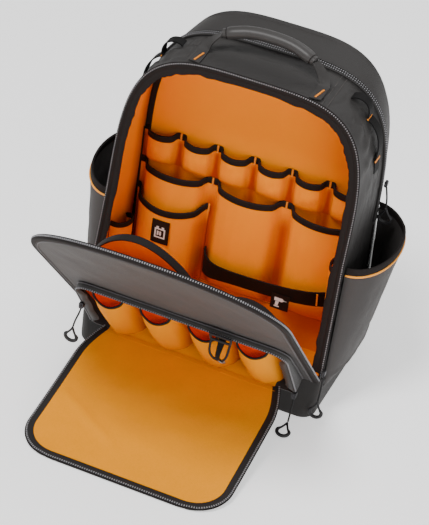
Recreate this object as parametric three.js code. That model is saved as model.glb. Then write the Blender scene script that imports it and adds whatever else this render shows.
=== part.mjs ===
// A tool backpack that stands open: its front panel and the panel's own pocket are thrown forward.
// Millimetres, +Z up, the front towards -Y, the origin in the middle of the base's underside.
import * as THREE from "three";

// Main compartment, as arches across the bag at three depths
const FOOT_HALF = 180;          // half width where the cloth meets the boot
const FRONT_SHOULDER = 173;     // half width at the front arch's shoulder
const FRONT_SHOULDER_Z = 234;
const FRONT_TOP = 442;
const FRONT_POWER = 3.9;        // squareness of the front arch
const RIDGE_SHOULDER = 174;
const RIDGE_SHOULDER_Z = 240;
const RIDGE_TOP = 447;
const RIDGE_POWER = 3.8;
const BACK_SHOULDER = 161.5;
const BACK_SHOULDER_Z = 255;
const BACK_TOP = 466;
const BACK_POWER = 3.5;
const FRONT_FOOT_Y = -109;      // front plane at the floor
const FRONT_HEAD_Y = -36;       // front plane at the top, as it leans back
const RIDGE_Y = 51;             // zip between the main and the rear compartment
const BACK_Y = 113;
const BACK_ROUND = 13;          // rounding of the rear edge

// Thicknesses and clearances
const CLOTH = 3;                // padded outer cloth
const LINING = 1.2;
const POCKET_CLOTH = 1.6;
const BINDING = 3;              // thickness of a bound edge
const GAP = 0.3;                // between touching pieces
const SEAM_GAP = 0.5;           // between a cloth piece and a piece that it is sewn into

// Boot
const BOOT_TOP = 62;
const BOOT_WALL = 4;
const BOOT_FLOOR = 6;
const BOOT_DRAFT = 3;           // how far the underside is drawn in
const BOOT_EDGE = 3;            // height of the rounded lower edge
const BOOT_CORNER = 20;         // plan radius at the floor
const BOOT_CORNER_TOP = 6;
const BOOT_TOE = 7;             // how far its front swells out at the floor

// Back wall between the compartments
const WALL_Y = 32.4;            // its orange face
const WALL_THICK = 5.6;
const WALL_BOOT_MARGIN = 10;    // how far it stays inside the boot's side at the floor

// Front panel, thrown open
const DOOR_LEAN = 43;           // degrees forward of upright
const DOOR_HALF = 178;
const DOOR_LENGTH = 390;
const DOOR_SHOULDER = 261;
const DOOR_POWER = 2.3;
const DOOR_RIM_WIDTH = 9;
const DOOR_FRONT = 5.2;         // outer face in front of the hinge line
const DOOR_CLOTH = 4;
const DOOR_RIM_BACK = 2;        // how far its rim stands behind the hinge line
const DOOR_RISE = 0.3;          // hinge line above the boot
const RIM_WIDTH = 14;           // zip band round the opening
const RIM_THICK = 2.7;
const RIM_PROUD = 1.5;
const RIM_START_Z = 72;

// Pocket on the front panel
const POCKET_LEFT = -150;
const POCKET_RIGHT = 157;
const POCKET_HIGH = 152;        // along the panel
const POCKET_LOW = 2;
const POCKET_CORNER = 24;
const POCKET_FOOT_CORNER = 8;
const POCKET_DEEP = 31;         // depth at the hinge of the flap
const POCKET_SHALLOW = 13;      // depth at the top
const POCKET_SLANT = 0.34;      // rise of the pocket's floor for each millimetre outwards
const GUSSET_CLOTH = 2.2;
const POUCH_LEFT = -136;
const POUCH_PITCH = 69.75;
const POUCH_COUNT = 4;
const POUCH_RIM = 147;
const POUCH_DIP = 14;
const POUCH_BULGE = 27;
const POUCH_GATHER = 0.62;      // share of the bulge that is left at the rim
const POUCH_FOOT = 10;

// Flap of that pocket, lying forward onto the floor
const FLAP_LENGTH = 244;
const FLAP_HINGE_HALF = 134;
const FLAP_HALF = 148;
const FLAP_CORNER = 52;
const FLAP_DROOP = 1.25;
const FLAP_CLOTH = 2.5;
const FLAP_RIM = 11;
const FLAP_TIP_Z = 3.2;         // upper face at the tip

// Pockets on the back wall
const ROW_LEFT = -168;
const ROW_PITCH = 55.7;
const ROW_1_Z = 283;
const ROW_BINDING = 6;
const ROW_1_BULGE = 16;
const ROW_2_Z = 231;
const ROW_2_BULGE = 24;
const ROW_3_Z = 189;
const ROW_3_BULGE = 37;
const ROW_FOOT = 66;             // where the two lower rows end, above the lining of the boot

// Strap across the two wide pockets, and the labels
const TOOL_STRAP_WIDTH = 32;
const TOOL_STRAP_Z = 106;       // middle of its left end
const TOOL_STRAP_RISE = 25;     // how much higher its right end is
const TOOL_STRAP_OUT = 44;      // how far it hangs before the wall
const TOOL_STRAP_RUN = [        // shares of its run, of its stand and of its rise
  [0, 0.13, 0], [0.013, 0.33, 0], [0.04, 0.51, 0], [0.085, 0.71, 0.04], [0.15, 0.87, 0.16], [0.239, 0.94, 0.24],
  [0.373, 0.986, 0.32], [0.533, 1, 0.4], [0.685, 0.986, 0.52], [0.797, 0.918, 0.64], [0.886, 0.782, 0.8],
  [0.953, 0.532, 0.96], [1, 0.236, 1],
];
const LABEL_WIDTH = 27;
const LABEL_LEFT = -125;
const LABEL_LOW = 130;
const LABEL_HEIGHT = 38;
const DRILL_LABEL_LEFT = 66;
const DRILL_LABEL_LOW = 90;
const DRILL_LABEL_HEIGHT = 25;

// Outer side pockets
const SIDE_POCKET_MARGIN = 12;  // how far behind the front plane it is sewn on
const SIDE_POCKET_BACK = 84;
const SIDE_POCKET_FOOT = 47;
const SIDE_POCKET_RIM_FRONT = 214;
const SIDE_POCKET_RIM_BACK = 240;
const SIDE_POCKET_BULGE = 51;
const SIDE_POCKET_BAND = 10;     // bound rim above the piping
const SIDE_POCKET_FOOT_OUT = 0.08;  // share of its bulge that is left at the boot
const SIDE_POCKET_CLOTH = 2.4;

// Handle, webbing and carrying side
const HANDLE_HALF = 66;
const HANDLE_TACK_X = 86;
const HANDLE_Y = 12;
const HANDLE_HIGH = 478;
const GRIP_RADIUS = 8;
const WEB_WIDTH = 25;
const HANDLE_WEB_WIDTH = 16;    // folded narrower beside the grip
const WEB_THICK = 2;
const DAISY_HIGH = 12;          // how far the upper loop stands out
const PAD_THICK = 14;
const PAD_HALF = 118;
const PAD_LOW = 84;
const PAD_HIGH = 410;
const PAD_CORNER = 60;
const STRAP_THICK = 11;
const STRAP_WIDTH = 64;
const STRAP_HIGH = 402;
const STRAP_LOW = 190;
const STRAP_HIGH_X = 52;
const STRAP_LOW_X = 92;
const STRAP_SAG = 22;           // how far a shoulder strap stands off the back pad
const STRAP_RUN = [             // shares of its height, of its spread and of its sag
  [0, 0, 0], [0.245, 0.2, 0.45], [0.53, 0.5, 1], [0.79, 0.8, 0.9], [1, 1, 0.55],
];
const STRAP_WEB_X = 150;        // where its web is sewn on

const DARK = 0x484646;
const BLACK = 0x26282a;
const PANEL = 0x625d5c;
const ORANGE = 0xf29a2e;
const BRIGHT = 0xf8a72c;
const RED = 0xd8461e;

const bag = new THREE.Group();
const radians = THREE.MathUtils.degToRad;
const mix = THREE.MathUtils.lerp;
const clamp = THREE.MathUtils.clamp;
const vec = (x, y, z) => new THREE.Vector3(x, y, z);

// A closed body from points and triangles, its faces turned outwards
function solid(points, triangles) {
  const geometry = new THREE.BufferGeometry();
  let volume = 0;
  for (let i = 0; i < triangles.length; i += 3) {
    const [a, b, c] = [0, 1, 2].map((k) => points[triangles[i + k]]);
    volume += a.dot(b.clone().cross(c));
  }
  if (volume < 0) {
    for (let i = 0; i < triangles.length; i += 3) {
      [triangles[i], triangles[i + 1]] = [triangles[i + 1], triangles[i]];
    }
  }
  geometry.setAttribute("position", new THREE.Float32BufferAttribute(points.flatMap((p) => p.toArray()), 3));
  geometry.setIndex(triangles);
  return geometry;
}

// A sheet of cloth between two facing grids; closed sheets join their first and last columns
function sheet(across, along, face, back, closed = false) {
  const columns = closed ? across : across + 1;
  const points = [];
  for (let i = 0; i < columns; i++) {
    for (const side of [face, back]) {
      for (let j = 0; j <= along; j++) points.push(side(i / across, j / along));
    }
  }
  const at = (side, i, j) => (i % columns) * 2 * (along + 1) + side * (along + 1) + j;
  const triangles = [];
  const quad = (a, b, c, d) => triangles.push(a, b, c, a, c, d);
  for (let i = 0; i < across; i++) {
    for (let j = 0; j < along; j++) {
      quad(at(0, i, j), at(0, i + 1, j), at(0, i + 1, j + 1), at(0, i, j + 1));
      quad(at(1, i, j + 1), at(1, i + 1, j + 1), at(1, i + 1, j), at(1, i, j));
    }
    quad(at(1, i, 0), at(1, i + 1, 0), at(0, i + 1, 0), at(0, i, 0));
    quad(at(0, i, along), at(0, i + 1, along), at(1, i + 1, along), at(1, i, along));
  }
  if (!closed) {
    for (let j = 0; j < along; j++) {
      quad(at(0, 0, j), at(0, 0, j + 1), at(1, 0, j + 1), at(1, 0, j));
      quad(at(1, across, j), at(1, across, j + 1), at(0, across, j + 1), at(0, across, j));
    }
  }
  return solid(points, triangles);
}

// A flat piece inside an outline: face and back take the share round the outline and out from its middle
function plate(round, rings, face, back) {
  const points = [face(0, 0), back(0, 0)];
  for (let r = 1; r <= rings; r++) {
    for (const side of [face, back]) {
      for (let i = 0; i < round; i++) points.push(side(i / round, r / rings));
    }
  }
  const at = (side, r, i) => (r === 0 ? side : 2 + ((r - 1) * 2 + side) * round + (i % round));
  const triangles = [];
  for (let i = 0; i < round; i++) {
    triangles.push(0, at(0, 1, i), at(0, 1, i + 1), 1, at(1, 1, i + 1), at(1, 1, i));
    for (let r = 1; r < rings; r++) {
      triangles.push(at(0, r, i), at(0, r + 1, i), at(0, r + 1, i + 1));
      triangles.push(at(0, r, i), at(0, r + 1, i + 1), at(0, r, i + 1));
      triangles.push(at(1, r, i), at(1, r + 1, i + 1), at(1, r + 1, i));
      triangles.push(at(1, r, i), at(1, r, i + 1), at(1, r + 1, i + 1));
    }
    triangles.push(at(0, rings, i), at(1, rings, i), at(1, rings, i + 1));
    triangles.push(at(0, rings, i), at(1, rings, i + 1), at(0, rings, i + 1));
  }
  return solid(points, triangles);
}

// A body through closed rings of points, with a flat fan at each end
function throughRings(rings) {
  const count = rings[0].length;
  const points = rings.flat();
  const middle = (ring) => ring.reduce((sum, p) => sum.add(p), vec(0, 0, 0)).multiplyScalar(1 / count);
  const first = points.push(middle(rings[0])) - 1;
  const last = points.push(middle(rings[rings.length - 1])) - 1;
  const triangles = [];
  for (let i = 0; i < count; i++) {
    const next = (i + 1) % count;
    for (let r = 0; r < rings.length - 1; r++) {
      const [a, b] = [r * count, (r + 1) * count];
      triangles.push(a + i, a + next, b + next, a + i, b + next, b + i);
    }
    const end = (rings.length - 1) * count;
    triangles.push(first, next, i, last, end + i, end + next);
  }
  return solid(points, triangles);
}

// A strap of even width along a curve; wide gives the direction across it at each share
function strap(stops, steps, width, thickness, wide) {
  const curve = new THREE.CatmullRomCurve3(stops);
  const side = (sign) => (u, v) => {
    const across = wide(u).normalize();
    const normal = curve.getTangent(u).cross(across).normalize();
    return curve.getPoint(u).addScaledVector(across, (v - 0.5) * width).addScaledVector(normal, sign * thickness / 2);
  };
  return sheet(steps, 1, side(1), side(-1));
}

function add(name, geometry, color, roughness = 0.85, parent = bag, metalness = 0) {
  const mesh = new THREE.Mesh(geometry, new THREE.MeshStandardMaterial({ color, roughness, metalness }));
  mesh.name = name;
  parent.add(mesh);
  return mesh;
}

// Arches
const frontArch = {
  foot: FOOT_HALF, shoulder: FRONT_SHOULDER, shoulderZ: FRONT_SHOULDER_Z, top: FRONT_TOP, power: FRONT_POWER,
};
const ridgeArch = {
  foot: FOOT_HALF, shoulder: RIDGE_SHOULDER, shoulderZ: RIDGE_SHOULDER_Z, top: RIDGE_TOP, power: RIDGE_POWER,
};
const backArch = {
  foot: FOOT_HALF, shoulder: BACK_SHOULDER, shoulderZ: BACK_SHOULDER_Z, top: BACK_TOP, power: BACK_POWER,
};
const doorArch = {
  foot: DOOR_HALF, shoulder: DOOR_HALF, shoulderZ: DOOR_SHOULDER, top: DOOR_LENGTH, power: DOOR_POWER,
};
const ARCH_SIDE = 1 / 7;        // share of an arch's steps on each straight side

function between(a, b, share) {
  return Object.fromEntries(Object.keys(a).map((key) => [key, mix(a[key], b[key], share)]));
}

// Point of an arch at a share from the left foot over the top to the right foot
function archPoint(shape, share, footZ) {
  const mirrored = share > 0.5;
  const s = mirrored ? 1 - share : share;
  const sign = mirrored ? 1 : -1;
  if (s < ARCH_SIDE) {
    const z = mix(footZ, shape.shoulderZ, s / ARCH_SIDE);
    return new THREE.Vector2(sign * mix(shape.foot, shape.shoulder, z / shape.shoulderZ), z);
  }
  const turn = (s - ARCH_SIDE) / (0.5 - ARCH_SIDE) * Math.PI / 2;
  return new THREE.Vector2(
    sign * shape.shoulder * Math.cos(turn) ** (2 / shape.power),
    shape.shoulderZ + (shape.top - shape.shoulderZ) * Math.sin(turn) ** (2 / shape.power),
  );
}

// The same point moved outwards by lift
function archLifted(shape, share, lift, footZ = BOOT_TOP + GAP) {
  const step = 0.004;
  const before = archPoint(shape, clamp(share - step, 0, 1), footZ);
  const after = archPoint(shape, clamp(share + step, 0, 1), footZ);
  const tangent = after.sub(before).normalize();
  const p = archPoint(shape, share, footZ).add(new THREE.Vector2(-tangent.y, tangent.x).multiplyScalar(lift));
  p.y = Math.max(p.y, footZ);
  return p;
}

const frontY = (z) => mix(FRONT_FOOT_Y, FRONT_HEAD_Y, z / FRONT_TOP);

// Outer skin: depth 0 at the front plane, 1 at the ridge, 2 at the back
function skin(share, depth, lift, footZ = BOOT_TOP + GAP) {
  const shape = depth < 1 ? between(frontArch, ridgeArch, depth) : between(ridgeArch, backArch, depth - 1);
  const p = archLifted(shape, share, lift, footZ);
  const y = depth < 1 ? mix(frontY(p.y), RIDGE_Y, depth) : mix(RIDGE_Y, BACK_Y, depth - 1);
  return vec(p.x, y, p.y);
}

// The skin's half width at a depth and height below the shoulders
function sideX(y, z) {
  const depth = y < RIDGE_Y ? (y - frontY(z)) / (RIDGE_Y - frontY(z)) : 1 + (y - RIDGE_Y) / (BACK_Y - RIDGE_Y);
  const shape = depth < 1 ? between(frontArch, ridgeArch, depth) : between(ridgeArch, backArch, depth - 1);
  return mix(shape.foot, shape.shoulder, z / shape.shoulderZ);
}

// The skin's depth share for a given y
const depthAt = (share, y) => {
  const z = archPoint(frontArch, share, BOOT_TOP).y;
  return clamp((y - frontY(z)) / (RIDGE_Y - frontY(z)), 0, 1);
};

const ARCH_STEPS = 28;

function mainShell() {
  const shellEnd = 1 - GAP / (RIDGE_Y - FRONT_FOOT_Y);
  add("body_shell", sheet(ARCH_STEPS, 4,
    (u, v) => skin(u, v * shellEnd, 0),
    (u, v) => skin(u, v * shellEnd, -CLOTH)), DARK, 0.9);
  const liningStart = 0.04;
  const liningEnd = WALL_Y - GAP;
  const liningDepth = (u, v) => mix(liningStart, depthAt(u, liningEnd), v);
  add("lining_shell", sheet(ARCH_STEPS, 3,
    (u, v) => skin(u, liningDepth(u, v), -CLOTH - GAP),
    (u, v) => skin(u, liningDepth(u, v), -CLOTH - GAP - LINING)), ORANGE, 0.8);
}

function openingRim() {
  const place = (u, lift, forward) => {
    const p = archLifted(frontArch, u, lift, RIM_START_Z);
    return vec(p.x, frontY(p.y) - forward, p.y);
  };
  const width = (u, v) => mix(RIM_PROUD, -RIM_WIDTH, v);
  add("opening_rim", sheet(ARCH_STEPS, 1,
    (u, v) => place(u, width(u, v), GAP + RIM_THICK),
    (u, v) => place(u, width(u, v), GAP)), BLACK, 0.8);
}

// Rear compartment: a tray of cloth that opens towards the main one
function rearShell() {
  const startDepth = 1 + GAP / (BACK_Y - RIDGE_Y);
  const ring = (depth, lift, y, footZ) => Array.from({ length: ARCH_STEPS + 1 }, (_, i) => (
    skin(i / ARCH_STEPS, depth, lift, footZ).setY(y)));
  const innerFoot = BOOT_TOP + GAP + CLOTH;
  const roundDepth = 2 - BACK_ROUND / (BACK_Y - RIDGE_Y);
  const rounded = Math.SQRT1_2;
  add("back_shell", throughRings([
    ring(2, -BACK_ROUND, BACK_Y),
    ring(2, -BACK_ROUND * (1 - rounded), BACK_Y - BACK_ROUND * (1 - rounded)),
    ring(roundDepth, 0, BACK_Y - BACK_ROUND),
    ring(startDepth, 0, RIDGE_Y + GAP),
    ring(startDepth, -CLOTH, RIDGE_Y + GAP, innerFoot),
    ring(roundDepth, -CLOTH, BACK_Y - BACK_ROUND, innerFoot),
    ring(2, -BACK_ROUND - CLOTH / 2, BACK_Y - CLOTH, innerFoot),
  ]), DARK, 0.9);
  const zipSteps = Math.round(ARCH_STEPS * (1 - 2 * ARCH_SIDE));
  const share = (u) => mix(ARCH_SIDE, 1 - ARCH_SIDE, u);
  const halfDepth = 0.055;
  const lift = [SEAM_GAP, 4];
  const depth = (v) => mix(1 - halfDepth, 1 + 2 * halfDepth, v);
  add("ridge_zip", sheet(zipSteps, 2,
    (u, v) => skin(share(u), depth(v), lift[1] - 2 * Math.abs(v - 0.5)),
    (u, v) => skin(share(u), depth(v), lift[0])), BLACK, 0.7);
}

// The boot's plan at a height, drawn in by inset
function bootRing(z, inset, radius, depthEnd = BACK_Y) {
  const half = FOOT_HALF - inset;
  const front = frontY(z) + inset - BOOT_TOE * (1 - z / BOOT_TOP) ** 2;
  const back = depthEnd - inset;
  const corners = [[half, back, 0], [-half, back, 90], [-half, front, 180], [half, front, 270]];
  const stops = [0, 22.5, 45, 67.5, 90];
  return corners.flatMap(([x, y, start]) => stops.map((turn) => {
    const a = radians(start + turn);
    return vec(x - Math.sign(x) * radius + radius * Math.cos(a), y - (y > 0 ? 1 : -1) * radius + radius * Math.sin(a), z);
  }));
}

function boot() {
  add("boot", throughRings([
    bootRing(0, BOOT_DRAFT, BOOT_CORNER),
    bootRing(BOOT_EDGE, BOOT_DRAFT / 2, BOOT_CORNER - BOOT_EDGE),
    bootRing(BOOT_TOP / 3, BOOT_DRAFT / 6, (BOOT_CORNER + BOOT_CORNER_TOP) / 2),
    bootRing(BOOT_TOP, 0, BOOT_CORNER_TOP),
    bootRing(BOOT_TOP, BOOT_WALL, BOOT_CORNER_TOP),
    bootRing(BOOT_FLOOR, BOOT_DRAFT + BOOT_WALL, BOOT_CORNER),
  ]), DARK, 0.6);
  const wall = BOOT_WALL + SEAM_GAP;
  const trayEnd = (inset) => WALL_Y - GAP + inset;
  const ring = (z, inset, radius) => bootRing(z, inset, radius, trayEnd(inset));
  add("lining_floor", throughRings([
    ring(BOOT_FLOOR + GAP, BOOT_DRAFT + wall, BOOT_CORNER),
    ring(BOOT_TOP - GAP, wall, BOOT_CORNER_TOP),
    ring(BOOT_TOP - GAP, wall + LINING, BOOT_CORNER_TOP).map((p) => p.setY(Math.min(p.y, WALL_Y - GAP - LINING))),
    ring(BOOT_FLOOR + GAP + LINING, BOOT_DRAFT + wall + LINING, BOOT_CORNER)
      .map((p) => p.setY(Math.min(p.y, WALL_Y - GAP - LINING))),
  ]), ORANGE, 0.8);
}

// Panel between the compartments; its outline is the skin above the boot and a straight foot in it
function backWall() {
  const footHalf = FOOT_HALF - BOOT_WALL - WALL_BOOT_MARGIN;
  const footZ = BOOT_FLOOR + GAP;
  const middle = vec(0, 0, FRONT_SHOULDER_Z);
  const foot = [vec(-footHalf, 0, BOOT_TOP - 2), vec(-footHalf, 0, footZ), vec(0, 0, footZ), vec(footHalf, 0, footZ),
    vec(footHalf, 0, BOOT_TOP - 2)];
  const wallY = WALL_Y + WALL_THICK / 2;
  const archCount = ARCH_STEPS + 1;
  const outline = Array.from({ length: archCount }, (_, i) => {
    const share = i / ARCH_STEPS;
    return skin(share, depthAt(share, wallY), -CLOTH - SEAM_GAP);
  }).concat(foot.reverse());
  const at = (y) => (u, r) => {
    const edge = outline[Math.round(u * outline.length) % outline.length];
    return vec(mix(middle.x, edge.x, r), y, mix(middle.z, edge.z, r));
  };
  add("back_wall", plate(outline.length, 1, at(WALL_Y), at(WALL_Y + WALL_THICK)), ORANGE, 0.8);
}

// A strip of pleated pockets. Its stops run along the strip; each gives its place x, how far the cloth
// stands out, and how deep the rim dips there.
const PLEAT_SQUARE = 0.75;      // below 1 the pockets are squarer than an ellipse

function pleats({ left, pitch, count, flat, bulge, steps }, thickness) {
  const half = pitch / 2 - flat;
  const stops = [];
  for (let pocket = 0; pocket < count; pocket++) {
    const middle = left + pitch * (pocket + 0.5);
    for (let step = 0; step <= steps; step++) {
      const turn = Math.PI * step / steps;
      const stand = bulge * Math.sin(turn) ** PLEAT_SQUARE;
      stops.push({
        outer: { x: middle - half * Math.cos(turn), out: thickness + stand },
        inner: { x: middle - (half - thickness) * Math.cos(turn), out: stand },
        dip: Math.sin(turn) ** 1.5,
      });
    }
  }
  return stops;
}

// How far a pocket stands out at a share of its height: drawn in at the foot
const closing = (share, foot, least) => mix(least, 1, Math.sqrt(1 - (1 - clamp(share / foot, 0, 1)) ** 2));

// place(x, out, height) puts a point of the strip on whatever carries it
function pocketStrip(name, bindingName, row, color, place, parent = bag) {
  const stops = pleats(row, POCKET_CLOTH);
  const rim = (stop) => row.rim - row.dip * stop.dip;
  const stopAt = (u) => stops[Math.round(u * (stops.length - 1))];
  const side = (key) => (u, v) => {
    const stop = stopAt(u);
    const narrowing = closing(v, row.foot, row.least) * mix(1, row.gather, v ** 3);
    const base = key === "outer" ? POCKET_CLOTH : 0;
    const out = base + (stop[key].out - base) * narrowing;
    return place(stop[key].x, out, mix(row.low, rim(stop), v));
  };
  add(name, sheet(stops.length - 1, 3, side("outer"), side("inner")), color, 0.8, parent);
  const proud = (BINDING - POCKET_CLOTH) / 2;
  const bound = (key) => (u, v) => {
    const stop = stopAt(u);
    const sign = key === "outer" ? 1 : -1;
    const lean = (stop[key].out - (key === "outer" ? POCKET_CLOTH : 0)) / row.bulge;
    const base = sign > 0 ? POCKET_CLOTH : 0;
    const out = base + (stop[key].out - base) * row.gather + (sign > 0 ? proud : -Math.min(proud, proud * lean));
    return place(stop[key].x, out, rim(stop) + GAP + v * row.binding);
  };
  add(bindingName, sheet(stops.length - 1, 1, bound("outer"), bound("inner")), BLACK, 0.85, parent);
}

function wallPockets() {
  const onWall = (lift) => (x, out, z) => vec(x, WALL_Y - GAP - lift - out, z);
  const layer = POCKET_CLOTH + GAP;
  pocketStrip("pocket_row_1", "row_1_binding", {
    left: ROW_LEFT, pitch: ROW_PITCH, count: 6, steps: 6, flat: 2, bulge: ROW_1_BULGE, rim: ROW_1_Z, dip: 4, gather: 1,
    low: ROW_2_Z + ROW_BINDING + 2 * GAP, foot: 0.6, least: 0.12, binding: ROW_BINDING - 1,
  }, ORANGE, onWall(0));
  pocketStrip("pocket_row_2", "row_2_binding", {
    left: ROW_LEFT, pitch: 2 * ROW_PITCH, count: 3, steps: 8, flat: 5, bulge: ROW_2_BULGE, rim: ROW_2_Z, dip: 5, gather: 1,
    low: ROW_FOOT, foot: 0.25, least: 0.12, binding: ROW_BINDING,
  }, ORANGE, onWall(layer));
  pocketStrip("pocket_row_3", "row_3_binding", {
    left: ROW_LEFT, pitch: 2 * ROW_PITCH, count: 1, steps: 8, flat: 1.5, bulge: ROW_3_BULGE, rim: ROW_3_Z, dip: 11, gather: 1,
    low: ROW_FOOT, foot: 0.25, least: 0.3, binding: ROW_BINDING,
  }, ORANGE, onWall(2 * layer));
}

// The opened front panel: a group whose local z runs up the panel and whose -y is its outer side
const door = new THREE.Group();
door.position.set(0, frontY(BOOT_TOP) - 1.2, BOOT_TOP + DOOR_RISE);
door.rotation.x = radians(DOOR_LEAN);
bag.add(door);
const onDoor = (x, out, up) => vec(x, -out, up);

const DOOR_STEPS = 28;

function frontPanel() {
  const edge = (u, lift) => archLifted(doorArch, u, lift, 0.5);
  add("door_rim", sheet(DOOR_STEPS, 1,
    (u, v) => { const p = edge(u, -v * DOOR_RIM_WIDTH); return onDoor(p.x, DOOR_FRONT + SEAM_GAP, p.y); },
    (u, v) => { const p = edge(u, -v * DOOR_RIM_WIDTH); return onDoor(p.x, -DOOR_RIM_BACK, p.y); }), BLACK, 0.8, door);
  const middle = DOOR_LENGTH * 0.45;
  const inside = (depth) => (u, r) => {
    const p = edge(clamp(u * (DOOR_STEPS + 1) / DOOR_STEPS, 0, 1), -DOOR_RIM_WIDTH - GAP);
    return onDoor(p.x * r, depth, mix(middle, p.y, r));
  };
  add("door_panel", plate(DOOR_STEPS + 1, 1, inside(DOOR_FRONT), inside(DOOR_FRONT - DOOR_CLOTH)), PANEL, 0.85, door);
  const liningFace = DOOR_FRONT - DOOR_CLOTH - GAP;
  add("door_lining", plate(DOOR_STEPS + 1, 1, inside(liningFace), inside(liningFace - LINING)), ORANGE, 0.8, door);
}

// A rounded outline: corners in turn from the lower right, each with its radius
function roundedOutline(left, right, low, high, lowRadius, highRadius) {
  const corners = [[right, low, lowRadius, 270], [right, high, highRadius, 0], [left, high, highRadius, 90],
    [left, low, lowRadius, 180]];
  const stops = [0, 22.5, 45, 67.5, 90];
  return corners.flatMap(([x, y, radius, start]) => stops.map((turn) => {
    const a = radians(start + turn);
    const centreX = x === right ? x - radius : x + radius;
    const centreY = y === high ? y - radius : y + radius;
    return new THREE.Vector2(centreX + radius * Math.cos(a), centreY + radius * Math.sin(a));
  }));
}

const POUCH_BASE = DOOR_FRONT + 2 * GAP + LINING;   // where the pouches are sewn on
const pocketFloor = (out, up) => POCKET_SLANT * (out - DOOR_FRONT) * clamp(1 - up / 30, 0, 1);

function frontPocket() {
  const walls = (inset) => roundedOutline(POCKET_LEFT + inset, POCKET_RIGHT - inset, POCKET_LOW + inset,
    POCKET_HIGH - inset, POCKET_FOOT_CORNER - inset, POCKET_CORNER - inset);
  const count = walls(0).length;
  const wall = (inset) => (u, v) => {
    const p = walls(inset)[Math.round(u * count) % count];
    const out = mix(DOOR_FRONT + GAP, mix(POCKET_DEEP, POCKET_SHALLOW, p.y / POCKET_HIGH), v);
    return onDoor(p.x, out, p.y + pocketFloor(out, p.y));
  };
  add("front_gusset", sheet(count, 3, wall(0), wall(GUSSET_CLOTH), true), DARK, 0.85, door);
  const backing = walls(GUSSET_CLOTH + SEAM_GAP);
  const back = (out) => (u, r) => {
    const p = backing[Math.round(u * count) % count];
    return onDoor(p.x * r, out, mix(POCKET_HIGH / 2, p.y, r));
  };
  add("front_pocket_back", plate(count, 1, back(DOOR_FRONT + GAP + LINING), back(DOOR_FRONT + GAP)), RED, 0.8, door);
  pocketStrip("pouch_row", "pouch_binding", {
    left: POUCH_LEFT, pitch: POUCH_PITCH, count: POUCH_COUNT, steps: 8, flat: 2, bulge: POUCH_BULGE, rim: POUCH_RIM - BINDING,
    dip: POUCH_DIP, gather: POUCH_GATHER, low: POUCH_FOOT, foot: 0.2, least: 0.35, binding: BINDING,
  }, BRIGHT, (x, out, up) => onDoor(x, POUCH_BASE + out, up), door);
}

// A short strap with a clip that hangs before the third pouch
function keyClip() {
  const x = POUCH_LEFT + POUCH_PITCH * 2.93;
  const width = 12;
  const underGusset = POCKET_HIGH - GUSSET_CLOTH - SEAM_GAP;
  const proud = POUCH_BASE + POCKET_CLOTH + POUCH_BULGE + BINDING;
  const end = POUCH_RIM - 26;
  const stops = [onDoor(x, POUCH_BASE + 4, underGusset - 1), onDoor(x, POUCH_BASE + 14, underGusset - 3),
    onDoor(x, proud, POUCH_RIM - 8), onDoor(x, proud, end)];
  add("key_strap", strap(stops, 8, width, WEB_THICK, () => vec(1, 0, 0)), BLACK, 0.8, door);
  const ringRadius = 7;
  const wire = 1.3;
  const ring = new THREE.TorusGeometry(ringRadius, wire, 6, 14);
  const clip = add("key_clip", ring, 0x8a8c90, 0.35, door, 0.9);
  clip.rotation.x = Math.PI / 2;
  clip.position.copy(onDoor(x, proud, end - ringRadius - wire - GAP));
}

// Flap of the front pocket: it falls from the pocket's floor and lies on the ground at its tip
const flapRoot = onDoor(0, POCKET_DEEP, POCKET_LOW + GUSSET_CLOTH + pocketFloor(POCKET_DEEP, POCKET_LOW + GUSSET_CLOTH));

function flap() {
  door.updateMatrixWorld(true);
  const root = flapRoot.clone().applyMatrix4(door.matrixWorld);
  const slope = Math.atan2(root.z - FLAP_TIP_Z, FLAP_LENGTH);
  const shape = (length, half, hingeHalf, corner, start, lift) => (u, v) => {
    const l = mix(start, length, v);
    const widening = mix(hingeHalf, half, Math.sin(clamp(l / 60, 0, 1) * Math.PI / 2));
    const past = Math.max(0, l - (length - corner));
    const width = widening - corner + Math.sqrt(corner ** 2 - past ** 2);
    const share = clamp(l / FLAP_LENGTH, 0, 1);
    const z = mix(FLAP_TIP_Z, root.z, (1 - share) ** FLAP_DROOP);
    return vec((2 * u - 1) * width, root.y - SEAM_GAP - l * Math.cos(slope), z + lift);
  };
  const outer = (lift) => shape(FLAP_LENGTH, FLAP_HALF, FLAP_HINGE_HALF, FLAP_CORNER, 0, lift);
  const inner = (lift) => shape(FLAP_LENGTH - FLAP_RIM, FLAP_HALF - FLAP_RIM, FLAP_HINGE_HALF - FLAP_RIM,
    FLAP_CORNER - FLAP_RIM, 2, lift);
  add("flap_outer", sheet(2, 18, outer(0), outer(-FLAP_CLOTH)), DARK, 0.85);
  add("flap_lining", sheet(2, 18, inner(GAP + LINING), inner(GAP)), BRIGHT, 0.8);
}

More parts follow.
